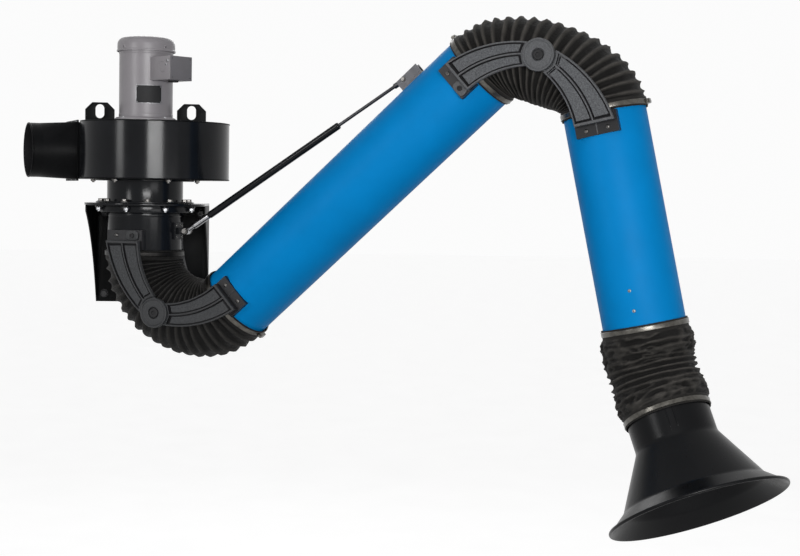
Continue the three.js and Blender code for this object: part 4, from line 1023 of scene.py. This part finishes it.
def hoses():
    # The shoulder's hose takes the darker cloth: painted shade
    for joint, place, bend, bodies, seed, fullness, cloth in (
        ("shoulder", SWIVEL_FRAME, math.pi / 2 + LOWER_RISE, ("swivel", "lower_arm"), 3.0, SHOULDER_FULLNESS, CLOTH_SHADED),
        ("elbow", LOWER @ move(LOWER_LENGTH) @ turn("X", math.pi), LOWER_RISE + math.pi / 2 - UPPER_LEAN,
         ("lower_arm", "upper_arm"), 11.0, ELBOW_FULLNESS, CLOTH),
    ):
        reach = PIVOT_REACH + PIVOT_OFFSET * math.tan(bend / 2) - CUFF
        hose = Hose(bend, reach, ELBOW_RIBS, seed, fullness=fullness)
        hose.piece(f"{joint}_bellows", place, -CUFF, hose.length + CUFF, bodies, [f"{joint}_hose"],
                   lambda d, length=hose.length: ease(d / length), cloth)
    reach = HOOD_REACH - CUFF
    hose = Hose(hood_bend, reach, HOOD_RIBS, 23.0, 3.2, 1.3, 5.5, 0.34, 0.95, 6.0)
    half = hose.length / 2
    hose.piece("hood_bellows_upper", HOOD_HOSE, -CUFF, half, ("upper_arm", "hood_cross"), ["hood_hose"],
               lambda d: ease(d / half))
    hose.piece("hood_bellows_lower", HOOD_HOSE, half, hose.length + CUFF, ("hood_cross", "hood"), ["hood_hose"],
               lambda d: ease((d - half) / half))


hood_way = Vector((
    math.cos(HOOD_SWING) * math.cos(HOOD_TILT), -math.sin(HOOD_SWING), math.cos(HOOD_SWING) * math.sin(HOOD_TILT),
))
hood_bend = math.acos(hood_way.x)
HOOD_HOSE = UPPER @ move(UPPER_LENGTH) @ turn("X", math.atan2(-hood_way.y, hood_way.z))
HOOD_HOSE_END = HOOD_HOSE @ move(HOOD_REACH) @ turn("Y", -hood_bend) @ move(HOOD_REACH) @ turn("Z", math.pi)


# Worm-drive clamp bands on the cuffs
def clamp(name, node, body, place, metal=BAND):
    band = Gather()
    inner = CUFF_OUTER + 0.5
    profile = rounded([(inner, 4), (inner + 1.4, 4), (inner + 1.4, 16), (inner, 16)], 0.5)
    bead = [(inner + 1.2, 4), (inner + 1.9, 4.7), (inner + 1.2, 5.4)]
    band.add(lathe(profile, ROUND), ALONG_X)
    band.add(lathe(bead, ROUND, False), ALONG_X)
    band.add(lathe([(inner + 1.2, 14.6), (inner + 1.9, 15.3), (inner + 1.2, 16)], ROUND, False), ALONG_X)
    top = -(inner + 1.4)
    housing = rounded([(-13, top + 1), (-13, top - 5), (-9, top - 8.5), (9, top - 8.5), (13, top - 5), (13, top + 1)], 1.5, 3)
    band.add(loft([[(x, y, z) for y, z in housing] for x in (4.4, 5.2, 14.8, 15.6)]))
    for x in (4.4, 15.6):
        band.add(([(x, y, z) for y, z in housing], [list(range(len(housing)))]))
    worm = facing((10, 13, top - 4), (0, 1, 0))
    hex_bolt(band, worm, 7, 5, 0, 0)
    for k in range(7):
        angle = math.radians(-90 + 12 + k * 2.4)
        notch = soft_box((-0.6, 0.6), (-3.8, 3.8), (-0.2, 0.15), 0.1)
        outward = Vector((0, math.cos(angle), math.sin(angle)))
        spot = Vector((10, 0, 0)) + outward * (inner + 1.4)
        turned_to = Matrix.Translation(spot) @ Matrix((
            (0, 1, 0, 0), (-outward.z, 0, outward.y, 0), (outward.y, 0, outward.z, 0), (0, 0, 0, 1),
        ))
        band.add(notch, turned_to, 1)
    band.piece(name, body, place, [metal, DARK_RUBBER], [node], "band_steel")


# Half-arms: raised borders, a middle rib and two stippled panels, wrapped round the arm's curve
def arm_point(share, offset):
    angle = share * ARM_SWEEP
    return (ARM_RADIUS + offset) * math.sin(angle) - FOOT_LENGTH, ARM_RADIUS - (ARM_RADIUS + offset) * math.cos(angle)


def half_arm(name, place, body, carries_disc, side, node, metals):
    foot = OUTER_FOOT if carries_disc else INNER_FOOT
    length = ARM_RADIUS * ARM_SWEEP
    top = ARM_THICK
    floor = 8.8
    deep = 5.2
    slope = 0.8
    border = 3.8
    groove = 2.4
    middle = 1.9
    brim = border + groove + 2 * slope
    rib = middle + groove + 2 * slope
    # Offsets from the centre line: fixed at the middle rib, following the edge at the borders
    half_lanes = [
        (0, middle, top), (0, middle + slope, deep), (0, rib - slope, deep), (0, rib, floor),
        (1, -brim, floor), (1, slope - brim, deep), (1, -border - slope, deep), (1, -border, top), (1, -0.9, top),
        (1, 0, top - 0.9),
    ]
    lanes = [(-edge, -off, high) for edge, off, high in reversed(half_lanes)] + half_lanes
    panels = {5, 13}
    raised = {0, 1, 9, 17, 18}

    def offset(lane, share):
        half = (foot + (PIVOT_WIDTH - foot) * (share - FOOT_SHARE) / (1 - FOOT_SHARE)) / 2
        return lane[0] * half + lane[1]

    def spot(lane, share):
        return arm_point(share, offset(lane, share))

    # The foot's end is square to the tube, so each lane starts at a share of its own
    def from_foot(lane, distance):
        share = FOOT_SHARE
        for _ in range(3):
            run = distance + FOOT_LENGTH - ARM_LAP
            share = math.asin(run / (ARM_RADIUS + offset(lane, share))) / ARM_SWEEP
        return share

    def reach(lane, radius):
        share = 1.0
        while math.dist(spot(lane, share), (PIVOT_REACH, PIVOT_OFFSET)) < radius:
            share -= 0.002
        return share

    # Rows along the arm: the foot's end rib, the panels, and an end rib that follows the pivot's circle
    end_radius = 26 if carries_disc else DISC_RADIUS + 3.2
    panel_radius = DISC_RADIUS + (5 if carries_disc else 9)
    end_rib = 7
    ramp_share = slope / length
    groove_share = (groove + slope) / length
    panel_rows = 26
    # Each row: how its place is given, where, how far its edge drops, and whether the groove crosses it
    rows = [("foot", 0, 0.9, False), ("foot", slope, 0, False), ("foot", end_rib - slope, 0, False)]
    rows += [("panel", 0.0, 0, True), ("panel", groove_share, 0, True)]
    rows += [("panel", k / panel_rows, 0, False) for k in range(1, panel_rows)]
    rows += [("panel", 1 - groove_share, 0, True), ("panel", 1.0, 0, True)]
    rows += [("end", slope, 0, False), ("end", 0.6, 0, False), ("end", 1.0, 0.7, False)]
    outer = []
    inner = []
    for kind, where, drop, crossing in rows:
        for lane in lanes:
            start = from_foot(lane, end_rib)
            stop = reach(lane, panel_radius)
            if kind == "foot":
                share = from_foot(lane, where)
            elif kind == "panel":
                share = start + (stop - start) * where
            elif where == slope:
                share = stop + ramp_share
            else:
                share = stop + ramp_share + (reach(lane, end_radius) - stop - ramp_share) * where
            x, z = spot(lane, share)
            rise = lane[2]
            if kind != "panel" and lane[2] in (floor, deep):
                rise = top
            elif crossing and lane[2] == floor:
                rise = deep
            under_disc = carries_disc and math.dist((x, z), (PIVOT_REACH, PIVOT_OFFSET)) < DISC_RADIUS + 1
            outer.append((x, side * (ARM_INNER + rise - drop), z))
            inner.append((x, side * (DISC_INNER + 0.2 if under_disc else ARM_INNER), z))
    count = len(lanes)
    base = len(outer)
    last = len(rows) - 1
    faces = []
    paints = []
    for i in range(last):
        in_panel = "panel" in (rows[i][0], rows[i + 1][0])
        crossing = rows[i][3] or rows[i + 1][3]
        here = i * count
        there = here + count
        for k in range(count - 1):
            faces.append([here + k, here + k + 1, there + k + 1, there + k])
            # Borders and ribs take the casting, panels the stippled panel, and the grooves a near black that is painted
            # shade
            if not in_panel or k in raised:
                paints.append(0)
            else:
                paints.append(1 if k in panels and not crossing else 2)
            faces.append([base + here + k, base + there + k, base + there + k + 1, base + here + k + 1])
            paints.append(0)
        for k in (0, count - 1):
            faces.append([here + k, there + k, base + there + k, base + here + k])
            paints.append(0)
    for i in (0, last):
        for k in range(i * count, i * count + count - 1):
            faces.append([k, k + 1, base + k + 1, base + k])
            paints.append(0)
    shell = Gather()
    shell.add((outer + inner, faces))
    shell.paints = paints
    pin = Matrix.Translation((PIVOT_REACH, 0, PIVOT_OFFSET)) @ facing((0, 0, 0), (0, side, 0))
    if carries_disc:
        d = DISC_OUTER
        shell.add(lathe(rounded([
            (8.5, DISC_INNER), (DISC_RADIUS, DISC_INNER), (DISC_RADIUS, d - 1.2), (DISC_RADIUS - 1.2, d),
            (DISC_RADIUS - 4.2, d), (DISC_RADIUS - 5.2, d - 1.3), (DISC_RADIUS - 6.2, d - 1.3), (DISC_RADIUS - 7, d - 0.4),
            (17, d - 0.4), (15.5, d - 1.4), (14.2, d - 6), (8.5, d - 6),
        ], 0.5), 72), pin)
    else:
        eye_top = ARM_INNER + 5.7
        shell.add(lathe(rounded([(8.5, ARM_INNER), (30, ARM_INNER), (30, eye_top), (8.5, eye_top)], 0.6), 64), pin)
        bridge = [arm_point(0.76, 29), arm_point(0.76, -29), arm_point(0.95, -26), arm_point(0.95, 26)]
        low, high = sorted((side * ARM_INNER, side * (eye_top - 0.2)))
        shell.add(loft([[(x, low, z) for x, z in bridge], [(x, high, z) for x, z in bridge]]))
        shell.add(([(x, y, z) for y in (low, high) for x, z in bridge], [[0, 1, 2, 3], [4, 5, 6, 7]]))
    shell.piece(name, body, place, metals, [node], "arm_casting", 28)


# Where an ear of the half-arm lies on the foot, across the tube
EARS = {"shoulder_upper": 25, "elbow_lower": 25}


def arms():
    for end, (place, body, carries_disc, near) in ENDS.items():
        joint = end.split("_")[0]
        # The shoulder's half-arms take the darker copies of the casting: painted shade
        metals = [CASTING_SHADED, PANEL_SHADED, GROOVE_SHADE] if joint == "shoulder" else [CASTING, PANEL, GROOVE_SHADE]
        for where, side in (("near", near), ("far", -near)):
            half_arm(f"{end}_half_arm_{where}", place, body, carries_disc, side, f"{end}_arm_{where}", metals)
            dress(f"{end}_foot_{where}", FOOT, 0.0012)
            screws = Gather()
            seat = side * (DUCT + 5)
            outward = (0, side, 0)
            middle = -(ARM_LAP + FOOT_LENGTH) / 2
            ear_at = EARS.get(end)
            if ear_at:
                dome_screw(screws, facing((middle, seat, -ear_at), outward), 5.2, 3.2, 0, 1)
                ear = plate([rounded([(13, -19), (-13, -19), (-13, 19), (13, 19)], 13, 8)], 0, 4.2, 0.9)
                lay = Matrix(((1, 0, 0, 0), (0, 0, side, 0), (0, 1, 0, 0), (0, 0, 0, 1)))
                screws.add(ear, Matrix.Translation((middle, seat, ear_at)) @ lay, 2)
                socket = facing((middle, seat + side * 4.2, ear_at), outward)
                screws.add(lathe(rounded([(0, 0), (6.6, 0), (6.6, 3.4), (3.4, 3.4), (3.4, 1.4), (0, 1.4)], 0.5, 2, False),
                                 28, False), socket, 1)
            else:
                for z in (-27, 27):
                    dome_screw(screws, facing((middle, seat, z), outward), 5.2, 3.2, 0, 1)
                rise = sorted((seat, seat + side * 1.2))
                screws.add(soft_box((1 - FOOT_LENGTH, -ARM_LAP), rise, (-1.5, 1.5), 0.4), None, 2)
            screws.piece(f"{end}_foot_screws_{where}", body, place, [SCREW, DARK_RUBBER, metals[0]], (), "zinc_steel")
            if carries_disc:
                head = DISC_OUTER - 6 + GAP
                bolt = Gather()
                pin = Matrix.Translation((PIVOT_REACH, 0, PIVOT_OFFSET)) @ facing((0, 0, 0), (0, side, 0))
                bolt.add(drum(8, ARM_INNER - 3.1, head + 1, 0.5, 32), pin)
                bolt.add(lathe(rounded([(0, head), (13, head), (13, head + 3.4), (11.2, head + 5), (5.6, head + 5), (5.4, head + 2.4), (0, head + 2.4)], 0.5, 2, False), 48, False), pin, 1)
                nut = facing((PIVOT_REACH, side * (ARM_INNER - GAP), PIVOT_OFFSET), (0, -side, 0))
                hex_bolt(bolt, nut, 22, 2.8, 0, 0)
                bolt.piece(f"{joint}_pivot_{where}", body, place, [ZINC, DARK_RUBBER], [f"{joint}_pivot_bolt_{where}"], "zinc_steel")
        # The band at the swivel takes the near-black copy of the band steel: painted shade
        clamp(f"{end}_band", f"{end}_hose_clamp", body, place, BAND_SHADED if end == "shoulder_upper" else BAND)


# Gas spring
def gas_spring():
    dress("gas_spring_base_bracket", BLACK, 0.0012)
    dress("gas_spring_tube_bracket", ROD_STEEL, 0.0012)
    barrel = Gather()
    barrel.add(lathe(rounded([
        (4, 5), (5, 7), (5, 26), (6.2, 28), (7.5, 28), (7.5, 80), (8.2, 82), (9.5, 84), (9.5, 527), (8.6, 530), (4.8, 530),
    ], 0.8, 3, False), 40, False), ALONG_X, 0)
    eye = facing((0, 0, 0), (0, 1, 0))
    barrel.add(lathe(rounded([(4.8, -7), (9, -7), (9, 7), (4.8, 7)], 1.6), 40), eye, 1)
    barrel.add(lathe(rounded([(5.2, 7), (5.2, 24), (7.3, 26), (7.3, 28)], 0.6, 3, False), 32, False), ALONG_X, 1)
    barrel.add(lathe(rounded([(7.6, 28), (8.1, 30), (8.1, 78), (7.6, 80)], 0.6, 3, False), 40, False), ALONG_X, 1)
    barrel.piece("spring_barrel", "gas_spring_barrel", SPRING, [BLACK, CHROME], ["gas_spring_barrel"], "black_paint")
    rod = Gather()
    end = SPRING_LENGTH
    rod.add(drum(4.5, 360, end - 32, 0.4, 32), ALONG_X)
    rod.add(drum(7.4, 331, 345, 0.8, 32), ALONG_X, 1)
    rod.add(lathe(rounded([(4.5, end - 34), (7, end - 34), (7, end - 8), (5, end - 4), (0, end - 4)], 1.2, 3, False), 32, False), ALONG_X)
    rod.add(lathe(rounded([(0, -7), (7, -7), (7, 7), (0, 7)], 1.4, 3, False), 32, False), facing((end, 0, 0), (0, 1, 0)))
    rod.piece("spring_rod", "gas_spring_rod", SPRING, [ROD_STEEL, DARK_RUBBER], ["gas_spring_rod"], "zinc_steel")
    pins = Gather()
    for side in (-1, 1):
        spot = facing((SPRING_REACH, side * 11.3, SPRING_HEIGHT), (0, side, 0))
        hex_bolt(pins, spot, 13, 5, 8)
    for z in (-15, 15):
        for y in (-14, 14):
            dome_screw(pins, facing((DUCT + 6, y, SPRING_HEIGHT + z), (1, 0, 0)), 4, 2.2, 0, 1)
    pins.piece("spring_base_bolts", "swivel", SWIVEL, [SCREW, DARK_RUBBER], (), "zinc_steel")
    top = Gather()
    for side in (-1, 1):
        spot = facing((SPRING_PLACE, side * 12.5, SPRING_LIFT), (0, side, 0))
        hex_bolt(top, spot, 10, 4, 6.6)
        for x in (SPRING_PLACE + 32, SPRING_PLACE + 44):
            dome_screw(top, facing((x, side * 16, DUCT + 6), (0, 0, 1)), 3, 1.8, 0, 1)
    top.piece("spring_top_bolts", "lower_arm", LOWER, [SCREW, DARK_RUBBER], (), "zinc_steel")


# Hood: moulded neck, cone and an outward lip rolled at its rim
def hood():
    start = HOOD_REACH - TUBE_IN_CUFF
    shoulder = HOOD_REACH + NECK
    cone_end = shoulder + CONE
    rim = cone_end + LIP
    neck_bore = DUCT - 3
    outer = rounded([
        (DUCT, start), (DUCT, shoulder), (CONE_RADIUS, cone_end), (RIM_RADIUS - 7, rim - 7),
    ], 26, 10, False)
    inner = rounded([
        (RIM_RADIUS - 9, rim - 3.5), (CONE_RADIUS - 1.5, cone_end + 3.2), (neck_bore, shoulder + 3), (neck_bore, start),
    ], 26, 10, False)
    shell = Gather()
    shell.add(lathe(outer, 144, False), ALONG_X)
    lip = [(RIM_RADIUS - 7, rim - 7), (RIM_RADIUS - 2.6, rim - 9.4), (RIM_RADIUS, rim - 5.5), (RIM_RADIUS - 0.8, rim - 1.6),
           (RIM_RADIUS - 4, rim), (RIM_RADIUS - 9, rim - 3.5)]
    shell.add(lathe(rounded(lip, 3, 4, False), 144, False), ALONG_X)
    shell.add(lathe(inner, 144, False), ALONG_X, 1)
    # A moulded rib pair beside the notch of the neck, and the parting line opposite
    for angle in (157, 167, -23, -13):
        outward = Vector((0, math.cos(math.radians(angle)), math.sin(math.radians(angle))))
        side = Vector((0, -outward.z, outward.y))
        rings = []
        for k in range(13):
            x = HOOD_REACH + 2 + (NECK - 12) * k / 12
            tall = 2.2 * min(1, (12 - k) / 3) + 0.2
            mid = Vector((x, 0, 0)) + outward * (DUCT - 0.6)
            rings.append([
                tuple(mid - side * 1.7), tuple(mid - side * 0.9 + outward * tall), tuple(mid + side * 0.9 + outward * tall), tuple(mid + side * 1.7),
            ])
        shell.add(loft(rings))
    shell.piece("hood_shell", "hood", HOOD, [HOOD_BLACK, HOOD_BLACK], ["hood"], "hood_plastic", 40)


wall_bracket()
fan_housing()
outlet()
lifting_lugs()
motor()
swivel()
tube("lower_duct", "lower_tube", "lower_arm", LOWER, LOWER_LENGTH, [])
tube("upper_duct", "upper_tube", "upper_arm", UPPER, UPPER_LENGTH, [(433, 2.1), (482, 3.2)])
hoses()
arms()
clamp("hood_band_upper", "hood_hose_clamp_upper", "upper_arm", HOOD_HOSE)
clamp("hood_band_lower", "hood_hose_clamp_lower", "hood", HOOD_HOSE_END)
gas_spring()
hood()
for inner in ("impeller", "cooling_fan", "motor_end_shield", "motor_stator"):
    dress(inner, IRON, 0.0006)
for inner in ("motor_rotor", "hood_joint_mount", "hood_joint_cross", "hood_joint_yoke"):
    dress(inner, ZINC, 0.0006)


# Floor, light and camera. The pale surroundings show to the camera, in metal and through glass.
def sight_of(tree):
    path = tree.nodes.new("ShaderNodeLightPath")
    direct = tree.nodes.new("ShaderNodeMath")
    direct.operation = "MAXIMUM"
    link(tree, path, "Is Camera Ray", direct, 0)
    link(tree, path, "Is Glossy Ray", direct, 1)
    seen = tree.nodes.new("ShaderNodeMath")
    seen.operation = "MAXIMUM"
    link(tree, direct, "Value", seen, 0)
    link(tree, path, "Is Transmission Ray", seen, 1)
    return seen


def studio():
    floor_mesh = bpy.data.meshes.new("floor")
    size = 40
    floor_mesh.from_pydata([(-size, -size, 0), (size, -size, 0), (size, size, 0), (-size, size, 0)], [], [[0, 1, 2, 3]])
    floor = bpy.data.objects.new("floor", floor_mesh)
    floor.location.z = cad_low.z - 0.85
    bpy.context.scene.collection.objects.link(floor)
    material, tree, shader = new_material("pale_floor")
    grain = noise_node(tree, coordinates(tree), 3.0, 4.0)
    tint = ramp(tree, grain, "Fac", [(0.3, (0.297, 0.297, 0.297)), (0.7, (0.303, 0.303, 0.303))])
    link(tree, tint, "Color", shader, "Base Color")
    link(tree, tint, "Color", shader, "Emission Color")
    shader.inputs["Roughness"].default_value = 0.95
    shader.inputs["Specular IOR Level"].default_value = 0.1
    lift = spread(tree, sight_of(tree), "Value", 0.0, 2.76)
    link(tree, lift, "Result", shader, "Emission Strength")
    floor_mesh.materials.append(material)

    world = bpy.data.worlds.new("studio")
    world.use_nodes = True
    bpy.context.scene.world = world
    tree = world.node_tree
    background = tree.nodes["Background"]
    background.inputs["Color"].default_value = (1, 1, 1, 1)
    level = spread(tree, sight_of(tree), "Value", WORLD_LIGHT, 0.97)
    link(tree, level, "Result", background, "Strength")

    sun = bpy.data.lights.new("sun", "SUN")
    sun.energy = 0.3
    sun.angle = math.radians(40)
    lamp = bpy.data.objects.new("sun", sun)
    lamp.rotation_euler = Vector((0.5, 0.75, -1.0)).to_track_quat("-Z", "Y").to_euler()
    bpy.context.scene.collection.objects.link(lamp)
    aim = Vector((0.4, -0.5, 0.15))
    for name, spot, wide, tall, power in (
        ("front_softbox", (0.9, -5.8, 0.45), 2.1, 0.55, 160),
        ("left_softbox", (-3.0, -3.3, 0.8), 0.8, 1.2, 44),
        ("right_softbox", (3.0, -5.1, -0.25), 2.2, 0.8, 30),
        ("back_softbox", (0.6, 3.6, 1.9), 2.4, 1.8, 34),
    ):
        data = bpy.data.lights.new(name, "AREA")
        data.shape = "RECTANGLE"
        data.size = wide
        data.size_y = tall
        data.energy = power
        lamp = bpy.data.objects.new(name, data)
        lamp.location = spot
        lamp.rotation_euler = (aim - Vector(spot)).to_track_quat("-Z", "Y").to_euler()
        bpy.context.scene.collection.objects.link(lamp)

    lens = bpy.data.cameras.new("camera")
    lens.lens = 72
    lens.sensor_width = 36
    camera = bpy.data.objects.new("camera", lens)
    camera.location = (0.3443, -4.7338, 0.1841)
    camera.rotation_euler = (math.radians(87.01), math.radians(-0.938), math.radians(-4.595))
    bpy.context.scene.collection.objects.link(camera)
    bpy.context.scene.camera = camera
    bpy.context.scene.view_settings.view_transform = "Standard"


studio()
